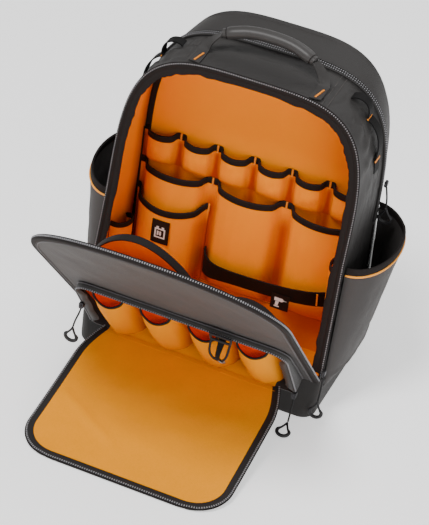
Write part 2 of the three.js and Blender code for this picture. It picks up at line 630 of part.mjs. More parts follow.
// Pocket on an outer side: its sections are half ellipses, narrow at the boot and wide at the rim
function sidePocket(sign, name) {
  const steps = 12;
  const footShare = 1 / 6;
  const seat = (y, z, v) => (v <= footShare ? FOOT_HALF : sideX(y, z)) + SEAM_GAP;
  const rimZ = (u) => mix(SIDE_POCKET_RIM_FRONT, SIDE_POCKET_RIM_BACK, (1 - Math.cos(Math.PI * u)) / 2);
  const heightAt = (u, v) => (v <= footShare ? mix(SIDE_POCKET_FOOT, BOOT_TOP + 2 * GAP, v / footShare)
    : mix(BOOT_TOP + 2 * GAP, rimZ(u), (v - footShare) / (1 - footShare)));
  const place = (u, z, v, inset, proud) => {
    const front = frontY(z) + SIDE_POCKET_MARGIN;
    const half = (SIDE_POCKET_BACK - front) / 2;
    const y = front + half - (half - inset) * Math.cos(Math.PI * u);
    const out = (SIDE_POCKET_BULGE * Math.sin(Math.PI * u)) * mix(SIDE_POCKET_FOOT_OUT, 1, v ** 0.7) + SIDE_POCKET_CLOTH - inset;
    return vec(sign * (seat(y, z, v) + out + proud), y, z);
  };
  add(name, sheet(steps, 6,
    (u, v) => place(u, heightAt(u, v), v, 0, 0),
    (u, v) => place(u, heightAt(u, v), v, SIDE_POCKET_CLOTH, 0)), DARK, 0.85);
  add(`${name}_binding`, sheet(steps, 1,
    (u, v) => place(u, rimZ(u) + GAP + v * SIDE_POCKET_BAND, 1, 0, 0.5),
    (u, v) => place(u, rimZ(u) + GAP + v * SIDE_POCKET_BAND, 1, SIDE_POCKET_CLOTH, 0)), BLACK, 0.85);
}

// Pockets low on the inner sides
function innerSidePocket(sign, name, front, back, frontRim, backRim, bulge) {
  const low = BOOT_TOP + 2 * GAP;
  const wallX = (y, z) => sideX(y, z) - CLOTH - GAP - LINING - GAP;
  const point = (inset) => (u, v) => {
    const half = (back - front) / 2;
    const y = front + half - (half - inset) * Math.cos(Math.PI * u);
    const z = mix(low, mix(frontRim, backRim, u), v);
    const out = bulge * Math.sin(Math.PI * u) * closing(v, 0.5, 0.1) + POCKET_CLOTH - inset;
    return vec(sign * (wallX(y, z) - out), y, z);
  };
  add(name, sheet(8, 4, point(0), point(POCKET_CLOTH)), ORANGE, 0.8);
}

function innerDetails() {
  innerSidePocket(-1, "wall_pocket_left", -58, 4, 172, 150, 18);
  innerSidePocket(1, "wall_pocket_right", -62, -6, 214, 206, 20);
  const seam = ROW_LEFT + 2 * ROW_PITCH + BINDING;
  const run = sideX(WALL_Y, TOOL_STRAP_Z) - CLOTH - 2 * GAP - LINING - WEB_THICK - seam;
  const strapStops = TOOL_STRAP_RUN.map(([along, out, rise]) => vec(seam + along * run, WALL_Y - out * TOOL_STRAP_OUT,
    TOOL_STRAP_Z + rise * TOOL_STRAP_RISE));
  const tilt = (u) => vec(0, -0.35 * Math.sin(Math.PI * u), 1);
  add("tool_strap", strap(strapStops, 24, TOOL_STRAP_WIDTH, WEB_THICK, tilt), BLACK, 0.75);
  const tab = (name, left, low, high, y) => add(name, sheet(1, 1,
    (u, v) => vec(left + u * LABEL_WIDTH, y, mix(low, high, v)),
    (u, v) => vec(left + u * LABEL_WIDTH, y + LINING, mix(low, high, v))), BLACK, 0.6);
  const row3Front = WALL_Y - GAP - 2 * (POCKET_CLOTH + GAP) - POCKET_CLOTH - ROW_3_BULGE;
  tab("battery_label", LABEL_LEFT, LABEL_LOW, LABEL_LOW + LABEL_HEIGHT, row3Front - LINING - GAP);
  tab("drill_label", DRILL_LABEL_LEFT, DRILL_LABEL_LOW, DRILL_LABEL_LOW + DRILL_LABEL_HEIGHT,
    WALL_Y - TOOL_STRAP_OUT - WEB_THICK - 2 * GAP);
}

// Top handle, loops at the upper corners
function webbing() {
  const topZ = (y) => {
    const depth = (y - FRONT_HEAD_Y) / (RIDGE_Y - FRONT_HEAD_Y);
    const { shoulder, shoulderZ, top, power } = between(frontArch, ridgeArch, depth);
    const innerEdge = HANDLE_TACK_X - HANDLE_WEB_WIDTH / 2;
    const height = (1 - (innerEdge / shoulder) ** power) ** (1 / power);
    return shoulderZ + (top - shoulderZ) * height + SEAM_GAP + WEB_THICK / 2;
  };
  const grip = new THREE.CatmullRomCurve3([vec(-HANDLE_HALF, HANDLE_Y, HANDLE_HIGH - 8),
    vec(-HANDLE_HALF / 2, HANDLE_Y + 8, HANDLE_HIGH), vec(0, HANDLE_Y + 10, HANDLE_HIGH + 2),
    vec(HANDLE_HALF / 2, HANDLE_Y + 8, HANDLE_HIGH), vec(HANDLE_HALF, HANDLE_Y, HANDLE_HIGH - 8)]);
  const section = new THREE.Shape();
  section.absellipse(0, 0, GRIP_RADIUS * 0.75, GRIP_RADIUS, 0, Math.PI * 2);
  const gripSolid = new THREE.ExtrudeGeometry(section, { steps: 14, curveSegments: 5, extrudePath: grip });
  add("handle_grip", gripSolid, BLACK, 0.5);
  for (const [sign, name] of [[-1, "handle_web_left"], [1, "handle_web_right"]]) {
    const end = grip.getPoint(sign < 0 ? 0 : 1);
    const run = grip.getTangent(sign < 0 ? 0 : 1);
    const level = vec(0, 1, 0).addScaledVector(run, -run.y);
    const stops = [end.clone().addScaledVector(run, sign * 0.8), vec(sign * (HANDLE_TACK_X - 4), HANDLE_Y - 6, HANDLE_HIGH - 24),
      vec(sign * HANDLE_TACK_X, 0, topZ(0) + 2), vec(sign * HANDLE_TACK_X, -10, topZ(-10)),
      vec(sign * HANDLE_TACK_X, -32, topZ(-32))];
    const across = (u) => level.clone().lerp(vec(sign, 0.2, 0), Math.min(1, u * 2.2));
    add(name, strap(stops, 12, HANDLE_WEB_WIDTH, WEB_THICK, across), BLACK, 0.8);
  }
  for (const [sign, name] of [[-1, "daisy_web_left"], [1, "daisy_web_right"]]) {
    const stops = [0.198, 0.221, 0.315, 0.383];
    const along = (u) => (sign < 0 ? mix(stops[0], stops[3], u) : 1 - mix(stops[0], stops[3], u));
    const depth = 0.66;
    const half = 0.085;
    const hump = (share, from, to, high) => high * Math.sin(Math.PI * clamp((share - from) / (to - from), 0, 1)) ** 0.7;
    const lift = (u) => {
      const share = mix(stops[0], stops[3], u);
      const loops = hump(share, stops[1], stops[2], DAISY_HIGH * 0.6) + hump(share, stops[2], stops[3], DAISY_HIGH);
      return SEAM_GAP + loops;
    };
    add(name, sheet(16, 1,
      (u, v) => skin(along(u), depth + (v - 0.5) * 2 * half, lift(u) + WEB_THICK),
      (u, v) => skin(along(u), depth + (v - 0.5) * 2 * half, lift(u))), BLACK, 0.8);
  }
}

// The side that is worn, which the photograph doesn't show
function carrying() {
  const outline = roundedOutline(-PAD_HALF, PAD_HALF, PAD_LOW, PAD_HIGH, PAD_CORNER / 2, PAD_CORNER);
  const count = outline.length;
  const padAt = (y) => (u, r) => {
    const p = outline[Math.round(u * count) % count];
    return vec(p.x * r, y, mix((PAD_LOW + PAD_HIGH) / 2, p.y, r));
  };
  const padFront = BACK_Y + GAP;
  add("back_pad", plate(count, 1, padAt(padFront + PAD_THICK), padAt(padFront)), BLACK, 0.9);
  const surface = padFront + PAD_THICK + GAP;
  for (const [sign, side] of [[-1, "left"], [1, "right"]]) {
    const onStrap = ([down, spread, sag]) => vec(sign * mix(STRAP_HIGH_X, STRAP_LOW_X, spread),
      surface + STRAP_THICK / 2 + sag * STRAP_SAG, mix(STRAP_HIGH, STRAP_LOW, down));
    add(`strap_pad_${side}`, strap(STRAP_RUN.map(onStrap), 14, STRAP_WIDTH, STRAP_THICK,
      () => vec(1, 0, 0)), DARK, 0.9);
    const start = onStrap(STRAP_RUN[STRAP_RUN.length - 1]).add(vec(0, 0, -GAP - WEB_THICK / 4));
    const end = vec(sign * STRAP_WEB_X, padFront + WEB_THICK / 2, BOOT_TOP + 2 * WEB_THICK);
    const onWeb = ([down, spread, away]) => vec(mix(start.x, end.x, spread), mix(end.y, start.y, away),
      mix(start.z, end.z, down));
    const webStops = [[0, 0, 1], [0.32, 0.24, 0.72], [0.67, 0.72, 0.44], [0.9, 0.97, 0.04], [1, 1, 0]].map(onWeb);
    add(`strap_web_${side}`, strap(webStops, 12, WEB_WIDTH, WEB_THICK, () => vec(1, 0, 0)), BLACK, 0.8);
  }
}

// Zip pulls: a slider, a cord along its chosen points and a moulded loop below it
const CORD_DIAMETER = 2.6;
const CORD_STEP = 6.5;
const LOOP_HALF_WIDTH = 9;
const LOOP_HALF_LENGTH = 11;
const LOOP_WIRE = 1.8;

function pull(name, sliderAt, sliderSize, cordStops, hang, parent = bag) {
  const slider = add(`${name}_slider`, new THREE.BoxGeometry(...sliderSize), 0x3a3b3d, 0.45, parent, 0.6);
  slider.position.copy(sliderAt);
  const route = new THREE.CatmullRomCurve3(cordStops);
  const section = new THREE.Shape();
  section.absarc(0, 0, CORD_DIAMETER / 2, 0, Math.PI * 2);
  const steps = Math.ceil(route.getLength() / CORD_STEP);
  add(`${name}_cord`, new THREE.ExtrudeGeometry(section, { steps, curveSegments: 4, extrudePath: route }), BLACK, 0.7);
  const ring = new THREE.TorusGeometry(1, LOOP_WIRE / LOOP_HALF_WIDTH, 6, 12);
  ring.scale(LOOP_HALF_WIDTH, LOOP_HALF_LENGTH, LOOP_HALF_WIDTH);
  const loop = add(`${name}_loop`, ring, BLACK, 0.5);
  loop.quaternion.setFromUnitVectors(vec(0, -1, 0), hang.clone().normalize());
  const reach = LOOP_HALF_LENGTH + LOOP_WIRE * LOOP_HALF_LENGTH / LOOP_HALF_WIDTH + 2 * GAP;
  loop.position.copy(cordStops[cordStops.length - 1]).addScaledVector(hang.clone().normalize(), reach);
}

function zipPulls() {
  const gussetEdge = (up) => mix(POCKET_DEEP, POCKET_SHALLOW, up / POCKET_HIGH) + 3 * GAP;
  const flat = [7, 5, 10];
  const mainSlider = [6, 8, 10];
  const mainZ = BOOT_TOP + 16;
  const mainX = mix(FOOT_HALF, FRONT_SHOULDER, mainZ / FRONT_SHOULDER_Z) + RIM_PROUD + 1.3 * mainSlider[0] / 2;
  pull("main_pull", vec(mainX, frontY(mainZ) - RIM_THICK - mainSlider[1] / 2 - 2 * GAP, mainZ), mainSlider,
    [vec(183.6, -106, 72.4), vec(184.6, -108, 62), vec(185, -111, 50), vec(185, -114, 38)], vec(0, -0.15, -1));
  pull("pocket_pull_right", onDoor(POCKET_RIGHT - 1, gussetEdge(9) + flat[1] / 2, 14), flat,
    [vec(156, -132.4, 43.7), vec(156.4, -137, 33), vec(156.6, -141, 21), vec(156.6, -144, 11)], vec(0, -1, -0.32), door);
  pull("pocket_pull_left", onDoor(POCKET_LEFT + 1, gussetEdge(83) + flat[1] / 2, 88), flat,
    [vec(-149.8, -176.6, 103.8), vec(-152, -178.5, 94), vec(-155.5, -180, 82), vec(-158, -180, 71)], vec(-0.1, 0, -1), door);
  pull("rear_pull", vec(181.4, 52, 300), [5, 8, 10],
    [vec(182.4, 53, 294.4), vec(184, 55, 284), vec(185.4, 57, 272), vec(186, 58, 260)], vec(0.05, 0.05, -1));
}

// Pockets on the panel's inner side; their bound rims stand away from it
function doorPocket(name, middle, half, low, rimEnd, rimMiddle, stand) {
  const base = -(DOOR_FRONT - DOOR_CLOTH - GAP - LINING) + GAP;
  const point = (inset) => (u, v) => {
    const across = 2 * u - 1;
    const up = mix(low, mix(rimMiddle, rimEnd, across ** 2), v);
    const out = stand * Math.cos(across * Math.PI / 2) ** 0.6 * mix(0.05, 1, v ** 1.3);
    return onDoor(middle + across * (half - inset), -(base + out + POCKET_CLOTH - inset), up);
  };
  add(name, sheet(12, 4, point(0), point(POCKET_CLOTH)), ORANGE, 0.8, door);
}

mainShell();
openingRim();
rearShell();
boot();
backWall();
wallPockets();
frontPanel();
doorPocket("door_pocket_left", -20, 76, 190, 292, 364, 30);
doorPocket("door_pocket_right", 108, 50, 120, 232, 246, 24);
frontPocket();
keyClip();
flap();
sidePocket(-1, "side_pocket_left");
sidePocket(1, "side_pocket_right");
innerDetails();
webbing();
carrying();
zipPulls();

export default bag;
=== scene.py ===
"""A tool backpack that stands open, its front panel thrown forward and its flap laid down."""
import math

import bmesh
import bpy
import numpy as np
from mathutils import Matrix, Vector, noise


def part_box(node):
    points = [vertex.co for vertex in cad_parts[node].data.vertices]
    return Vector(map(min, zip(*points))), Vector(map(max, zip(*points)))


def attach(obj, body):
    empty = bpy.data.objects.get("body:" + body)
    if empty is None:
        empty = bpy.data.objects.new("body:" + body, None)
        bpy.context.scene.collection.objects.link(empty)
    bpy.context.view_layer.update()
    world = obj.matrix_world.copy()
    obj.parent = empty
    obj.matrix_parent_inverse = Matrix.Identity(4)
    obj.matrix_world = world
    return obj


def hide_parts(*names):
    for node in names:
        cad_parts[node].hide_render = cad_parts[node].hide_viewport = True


bl_info = {
    "name": "Open tool backpack",
    "version": (1, 0, 0),
    "blender": (4, 5, 0),
    "location": "3D View > Sidebar > Backpack",
    "description": "Builds the cloth, zips, bindings, pouches and straps of an open tool backpack",
    "category": "Add Mesh",
}

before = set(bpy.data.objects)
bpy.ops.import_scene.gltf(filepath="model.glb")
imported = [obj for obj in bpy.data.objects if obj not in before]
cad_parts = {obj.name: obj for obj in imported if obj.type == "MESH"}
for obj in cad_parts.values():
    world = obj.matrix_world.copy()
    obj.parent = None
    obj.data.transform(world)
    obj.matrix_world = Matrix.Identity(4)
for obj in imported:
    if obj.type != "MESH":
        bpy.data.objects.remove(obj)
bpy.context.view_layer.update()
MM = 0.001

# Arches across the bag, in millimetres, as in the solids
FRONT = dict(foot=180, shoulder=173, shoulder_z=234, top=442, power=3.9)
RIDGE = dict(foot=180, shoulder=174, shoulder_z=240, top=447, power=3.8)
BACK = dict(foot=180, shoulder=161.5, shoulder_z=255, top=466, power=3.5)
DOOR = dict(foot=178, shoulder=178, shoulder_z=261, top=390, power=2.3)
FRONT_FOOT_Y, FRONT_HEAD_Y, RIDGE_Y, BACK_Y, BACK_ROUND = -109, -36, 51, 113, 13
ARCH_SIDE = 1 / 7
CLOTH, LINING, GAP = 3, 1.2, 0.3
BOOT_TOP, BOOT_WALL, BOOT_FLOOR, BOOT_DRAFT = 62, 4, 6, 3
BOOT_CORNER, BOOT_CORNER_TOP, BOOT_TOE = 20, 6, 7
WALL_Y, WALL_THICK = 32.4, 5.6
DOOR_LEAN, DOOR_RIM_WIDTH, DOOR_FRONT, DOOR_CLOTH, DOOR_RIM_BACK = 43, 9, 5.2, 4, 2
RIM_WIDTH, RIM_START_Z = 14, 72
POCKET_LEFT, POCKET_RIGHT, POCKET_LOW, POCKET_HIGH = -150, 157, 2, 152
POCKET_CORNER, POCKET_FOOT_CORNER, POCKET_DEEP, POCKET_SHALLOW, POCKET_SLANT = 24, 8, 31, 13, 0.34
POUCH_BASE = DOOR_FRONT + 2 * GAP + LINING
FLAP_LENGTH, FLAP_HINGE_HALF, FLAP_HALF, FLAP_CORNER, FLAP_RIM = 244, 134, 148, 52, 11
FLAP_SHAPE = (FLAP_LENGTH, FLAP_HALF, FLAP_HINGE_HALF, FLAP_CORNER)
FLAP_DROOP, FLAP_TIP_Z = 1.25, 3.2
ROW_LEFT, ROW_PITCH = -168, 55.7
ROWS = {
    "pocket_row_1": dict(left=ROW_LEFT, pitch=ROW_PITCH, count=6, flat=2, bulge=16, rim=283, dip=4, gather=1,
                         low=237.6, foot=0.5, least=0.42, layer=0, tape=10, seam=0.08, ramp=0.13,
                         square=0.45),
    "pocket_row_2": dict(left=ROW_LEFT, pitch=2 * ROW_PITCH, count=3, flat=5, bulge=24, rim=231, dip=5,
                         gather=1, low=66, foot=0.25, least=0.12, layer=1.9, tape=10, seam=0.06, ramp=0.09,
                         square=0.42),
    "pocket_row_3": dict(left=ROW_LEFT, pitch=2 * ROW_PITCH, count=1, flat=1.5, bulge=37, rim=189, dip=11,
                         gather=1,
                         low=66, foot=0.25, least=0.3, layer=3.8, tape=10, seam=0.02, ramp=0.1, square=0.5),
}
POUCHES = dict(left=-136, pitch=69.75, count=4, flat=2, bulge=27, rim=144, dip=14, gather=0.62, low=10,
               foot=0.2, least=0.35, layer=0, tape=5.5, seam=0.02, pinch=0.1, ramp=0.14, square=0.7)
SIDE_POCKET = dict(margin=12, back=84, foot=47, rim_front=214, rim_back=240, bulge=51, foot_out=0.08, band=10,
                   cloth=2.4)
HANDLE_HALF, HANDLE_TACK_X, HANDLE_Y, HANDLE_HIGH = 66, 86, 12, 478
WEB_THICK, DAISY_HIGH = 2, 12
# Painted shade: the colour that the fold_shade attribute multiplies into the lining and pouches in their
# folds.
FOLD_PAINTED_SHADE = (0.4, 0.13, 0.06)    # what a deep fold multiplies its cloth's colour by
STITCH_SHARE, TOOTH_SHARE = 0.68, 0.42    # how much of its pitch a stitch or a tooth takes

# Camera of the photograph: azimuth, elevation and roll in degrees, the rest in millimetres and pixels
SHOT = dict(azimuth=18.41334, elevation=33.84736, roll=8.20816, distance=2718.58, focal=2000.05,
            middle=(225.786, 229.139), size=(429, 525), target=(0, -57.6, 220.8))


def srgb(code):
    """Linear colour of a hexadecimal sRGB code."""
    parts = [int(code[i:i + 2], 16) / 255 for i in (0, 2, 4)]
    return [c / 12.92 if c <= 0.04045 else ((c + 0.055) / 1.055) ** 2.4 for c in parts]


def colour_value(label, code):
    return bpy.props.FloatVectorProperty(name=label, description=f"Colour of the {label.lower()}",
                                         subtype="COLOR", default=srgb(code), min=0, max=1)


def length_value(label, words, value):
    return bpy.props.FloatProperty(name=label, description=words, default=value * MM, min=0, unit="LENGTH",
                                   subtype="DISTANCE", precision=5)


class BackpackColours(bpy.types.PropertyGroup):
    outer: colour_value("Outer cloth", "2f2d2c")
    panel: colour_value("Panel cloth", "3f3c3b")
    trim: colour_value("Bound edges", "1f1b1a")
    lining: colour_value("Lining", "ff9900")
    # Painted shade: the pouches' orange is set darker than the lining's, against the strong light that falls
    # on them.
    pouch: colour_value("Pouches", "de8a00")
    flap: colour_value("Flap lining", "f89d00")
    red: colour_value("Pouch backs", "f24108")
    webbing: colour_value("Webbing", "151414")
    thread: colour_value("Bar tacks", "f0922a")
    piping: colour_value("Side piping", "f7a02e")


class BackpackSizes(bpy.types.PropertyGroup):
    tooth_pitch: length_value("Tooth pitch", "Distance from one zip tooth to the next", 3.3)
    stitch: length_value("Stitch", "Length of one stitch and its gap", 3.4)
    thread: length_value("Thread", "Thickness of the sewing thread", 0.55)
    fold: length_value("Folds", "Height of the soft folds in the cloth", 1.7)
    weave: length_value("Weave", "Distance between two threads of the outer cloth", 0.9)


def mix(a, b, share):
    return a + (b - a) * share


def clamp(x, low=0.0, high=1.0):
    return max(low, min(high, x))


def smooth(x):
    x = clamp(x)
    return x * x * (3 - 2 * x)


def between(a, b, share):
    return {key: mix(a[key], b[key], share) for key in a}


def arch_point(shape, share, foot_z):
    """Point of an arch at a share from the left foot over the top to the right foot."""
    s = min(share, 1 - share)
    sign = 1 if share > 0.5 else -1
    if s < ARCH_SIDE:
        z = mix(foot_z, shape["shoulder_z"], s / ARCH_SIDE)
        return sign * mix(shape["foot"], shape["shoulder"], z / shape["shoulder_z"]), z
    turn = (s - ARCH_SIDE) / (0.5 - ARCH_SIDE) * math.pi / 2
    cosine = max(math.cos(turn), 0)
    return (sign * shape["shoulder"] * cosine ** (2 / shape["power"]),
            shape["shoulder_z"] + (shape["top"] - shape["shoulder_z"])
            * math.sin(turn) ** (2 / shape["power"]))


def arch_lifted(shape, share, lift, foot_z=BOOT_TOP + GAP):
    """The same point moved outwards by lift, and the outward direction there."""
    before = arch_point(shape, clamp(share - 0.004), foot_z)
    after = arch_point(shape, clamp(share + 0.004), foot_z)
    along = Vector((after[0] - before[0], after[1] - before[1])).normalized()
    out = Vector((-along.y, along.x))
    x, z = arch_point(shape, share, foot_z)
    return x + out.x * lift, max(z + out.y * lift, foot_z), out


def front_y(z):
    return mix(FRONT_FOOT_Y, FRONT_HEAD_Y, z / FRONT["top"])


def shape_at(depth):
    return between(FRONT, RIDGE, depth) if depth < 1 else between(RIDGE, BACK, depth - 1)


def skin(share, depth, lift, foot_z=BOOT_TOP + GAP):
    """Outer skin: depth 0 at the front plane, 1 at the ridge, 2 at the back."""
    x, z, _ = arch_lifted(shape_at(depth), share, lift, foot_z)
    y = mix(front_y(z), RIDGE_Y, depth) if depth < 1 else mix(RIDGE_Y, BACK_Y, depth - 1)
    return Vector((x, y, z))


def skin_out(share, depth):
    out = arch_lifted(shape_at(depth), share, 0)[2]
    return Vector((out.x, 0, out.y))


def side_x(y, z):
    if y < RIDGE_Y:
        depth = (y - front_y(z)) / (RIDGE_Y - front_y(z))
    else:
        depth = 1 + (y - RIDGE_Y) / (BACK_Y - RIDGE_Y)
    shape = shape_at(depth)
    return mix(shape["foot"], shape["shoulder"], z / shape["shoulder_z"])


def depth_at(share, y):
    z = arch_point(FRONT, share, BOOT_TOP)[1]
    return clamp((y - front_y(z)) / (RIDGE_Y - front_y(z)))


DOOR_AT = Vector((0, front_y(BOOT_TOP) - 1.2, BOOT_TOP + GAP))
DOOR_TURN = Matrix.Rotation(math.radians(DOOR_LEAN), 3, "X")


def on_door(x, out, up):
    """A point on the opened panel: out from its outer side, up along it."""
    return DOOR_AT + DOOR_TURN @ Vector((x, -out, up))


DOOR_OUT = DOOR_TURN @ Vector((0, -1, 0))
DOOR_UP = DOOR_TURN @ Vector((0, 0, 1))


def soft_noise(p, scale, seed):
    """Slow, repeatable noise from -1 to 1 at a point in millimetres."""
    return noise.noise(Vector((p[0] / scale + seed * 7.3, p[1] / scale - seed * 3.1,
                               p[2] / scale + seed * 1.7)))


# Meshes from grids and sweeps

def grid_of(across, along, point):
    return np.array([[point(i / across, j / along) for j in range(along + 1)] for i in range(across + 1)],
                    float)


def grid_normals(grid, closed):
    if closed:
        grid = np.concatenate([grid[-1:], grid, grid[:1]])
    normal = np.cross(np.gradient(grid, axis=0), np.gradient(grid, axis=1))
    normal /= np.maximum(np.linalg.norm(normal, axis=2, keepdims=True), 1e-9)
    return normal[1:-1] if closed else normal


def crumple(grid, height, scale, seed, closed=False, mask=None, creases=0.0, inward=False):
    """Moves a grid along its normals by slow noise, weighed by mask(i share, j share); creases adds folds."""
    normal = grid_normals(grid, closed)
    n, m = grid.shape[:2]
    for i in range(n):
        for j in range(m):
            weight = 1 if mask is None else mask(i / max(n - 1, 1), j / (m - 1))
            if weight <= 0:
                continue
            p = grid[i, j]
            value = soft_noise(p, scale, seed) + 0.5 * soft_noise(p, scale * 0.45, seed + 1)
            if creases:
                value -= creases * (1 - min(1, abs(soft_noise(p, scale * 0.8, seed + 2)) * 9)) ** 2
            if inward:
                value = -min(abs(value), 0.8)
            grid[i, j] = p + normal[i, j] * (height * weight * value)
    return grid


def edge_lengths(grid, axis):
    step = np.linalg.norm(np.diff(grid, axis=axis), axis=2)
    total = np.cumsum(step, axis=axis)
    pad = np.zeros_like(np.take(total, [0], axis=axis))
    return np.concatenate([pad, total], axis=axis)


def finish_mesh(name, points, faces, uvs, finish, angle=40, closed_body=True, shade=None):
    """A mesh object from points in millimetres, its faces outwards, its UV map in metres."""
    mesh = bpy.data.meshes.new(name)
    mesh.from_pydata([tuple(c * MM for c in p) for p in points], [], faces)
    layer = mesh.uv_layers.new(name="UVMap")
    index = np.empty(len(mesh.loops), int)
    mesh.loops.foreach_get("vertex_index", index)
    layer.data.foreach_set("uv", (np.array(uvs, float)[index] * MM).ravel())
    if shade is not None:
        mesh.attributes.new("fold_shade", "FLOAT", "POINT").data.foreach_set("value", shade)
    work = bmesh.new()
    work.from_mesh(mesh)
    bmesh.ops.remove_doubles(work, verts=work.verts, dist=1e-6)
    if closed_body:
        bmesh.ops.recalc_face_normals(work, faces=work.faces)
    work.to_mesh(mesh)
    work.free()
    mesh.shade_smooth()
    mesh.set_sharp_from_angle(angle=math.radians(angle))
    mesh.materials.append(finish)
    piece = bpy.data.objects.new(name, mesh)
    bpy.context.scene.collection.objects.link(piece)
    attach(piece, "root")
    return piece


def cloth(name, grid, thickness, finish, closed=False, turned=False, angle=40, shade=None):
    """A cloth piece: the grid is its face, and its back lies a thickness below. shade is painted shade that
    darkens its folds.
    """
    normal = grid_normals(grid, closed) * (-1 if turned else 1)
    back = grid - normal * thickness
    n, m = grid.shape[:2]
    points = np.concatenate([grid.reshape(-1, 3), back.reshape(-1, 3)])
    along = edge_lengths(grid, 0)
    up = edge_lengths(grid, 1)
    uv = np.stack([along[:, m // 2][:, None].repeat(m, 1), up], axis=2).reshape(-1, 2)
    uvs = np.concatenate([uv, uv])
    at = lambda side, i, j: side * n * m + (i % n) * m + j
    faces = []
    for i in range(n if closed else n - 1):
        for j in range(m - 1):
            faces.append((at(0, i, j), at(0, i + 1, j), at(0, i + 1, j + 1), at(0, i, j + 1)))
            faces.append((at(1, i, j + 1), at(1, i + 1, j + 1), at(1, i + 1, j), at(1, i, j)))
        faces.append((at(1, i, 0), at(1, i + 1, 0), at(0, i + 1, 0), at(0, i, 0)))
        faces.append((at(0, i, m - 1), at(0, i + 1, m - 1), at(1, i + 1, m - 1), at(1, i, m - 1)))
    if not closed:
        for j in range(m - 1):
            faces.append((at(0, 0, j), at(0, 0, j + 1), at(1, 0, j + 1), at(1, 0, j)))
            faces.append((at(1, n - 1, j), at(1, n - 1, j + 1), at(0, n - 1, j + 1), at(0, n - 1, j)))
    if shade is not None:
        shade = np.concatenate([np.ravel(shade), np.ravel(shade)])
    return finish_mesh(name, points, faces, uvs, finish, angle, shade=shade)


def vessel(name, rings, finish, angle=40):
    """A body through closed rings, with a flat fan at each end."""
    grid = np.array(rings, float).transpose(1, 0, 2)
    n, m = grid.shape[:2]
    points = list(grid.reshape(-1, 3)) + [grid[:, 0].mean(axis=0), grid[:, -1].mean(axis=0)]
    along = edge_lengths(grid, 0)[:, m // 2]
    up = edge_lengths(grid, 1)
    uvs = [(along[i], up[i, j]) for i in range(n) for j in range(m)]
    uvs += [(along[-1] / 2, -50), (along[-1] / 2, 500)]
    faces = []
    for i in range(n):
        k = (i + 1) % n
        faces += [(i * m + j, k * m + j, k * m + j + 1, i * m + j + 1) for j in range(m - 1)]
        faces.append((n * m, k * m, i * m))
        faces.append((n * m + 1, i * m + m - 1, k * m + m - 1))
    return finish_mesh(name, points, faces, uvs, finish, angle)


def sweep_parts(path, profile, ring=False, scale=None):
    """Points, faces and UVs of a profile swept along a path of (point, up) pairs."""
    spots = [Vector(p) for p, _ in path]
    count, sides = len(spots), len(profile)
    around = [0]
    for a, b in zip(profile, profile[1:] + profile[:1]):
        around.append(around[-1] + math.dist(a, b))
    points, uvs, run = [], [], 0
    for i, (_, up) in enumerate(path):
        before = spots[i - 1] if i or ring else spots[0]
        after = spots[(i + 1) % count] if i < count - 1 or ring else spots[-1]
        along = (after - before).normalized()
        side = along.cross(Vector(up)).normalized()
        top = side.cross(along).normalized()
        if i:
            run += (spots[i] - spots[i - 1]).length
        size = 1 if scale is None else scale(i / (count - 1))
        for k, (a, b) in enumerate(profile):
            points.append(spots[i] + side * (a * size) + top * (b * size))
            uvs.append((run, around[k]))
    faces = []
    for i in range(count if ring else count - 1):
        j = (i + 1) % count
        for k in range(sides):
            q = (k + 1) % sides
            faces.append((i * sides + k, i * sides + q, j * sides + q, j * sides + k))
    if not ring:
        faces.append(tuple(range(sides))[::-1])
        faces.append(tuple((count - 1) * sides + k for k in range(sides)))
    return points, faces, uvs


def sweep(name, paths, profile, finish, ring=False, angle=40, scale=None):
    """One piece from the same profile swept along each path."""
    points, faces, uvs = [], [], []
    for path in paths:
        p, f, u = sweep_parts(path, profile, ring, scale)
        faces += [tuple(k + len(points) for k in face) for face in f]
        points += p
        uvs += u
    return finish_mesh(name, points, faces, uvs, finish, angle)


def round_profile(radius, sides=10, flat=1.0):
    return [(radius * math.cos(2 * math.pi * k / sides), radius * flat * math.sin(2 * math.pi * k / sides))
            for k in range(sides)]


def tape_profile(width, high, radius=0.8, steps=3):
    """A rounded rectangle, width across the path and high along its up direction."""
    radius = min(radius, width / 2.01, high / 2.01)
    corners = [(1, 1, 0), (-1, 1, 90), (-1, -1, 180), (1, -1, 270)]
    points = []
    for sx, sy, start in corners:
        for k in range(steps + 1):
            a = math.radians(start + 90 * k / steps)
            points.append((sx * (width / 2 - radius) + radius * math.cos(a),
                           sy * (high / 2 - radius) + radius * math.sin(a)))
    return points


def even(path, step):
    """A path of (point, up) pairs with even steps."""
    spots = np.array([list(p) + list(u) for p, u in path], float)
    run = np.concatenate([[0], np.cumsum(np.linalg.norm(np.diff(spots[:, :3], axis=0), axis=1))])
    count = max(2, int(round(run[-1] / step)) + 1)
    at = np.linspace(0, run[-1], count)
    rows = np.stack([np.interp(at, run, spots[:, k]) for k in range(6)], axis=1)
    return [(Vector(r[:3]), Vector(r[3:]).normalized()) for r in rows]


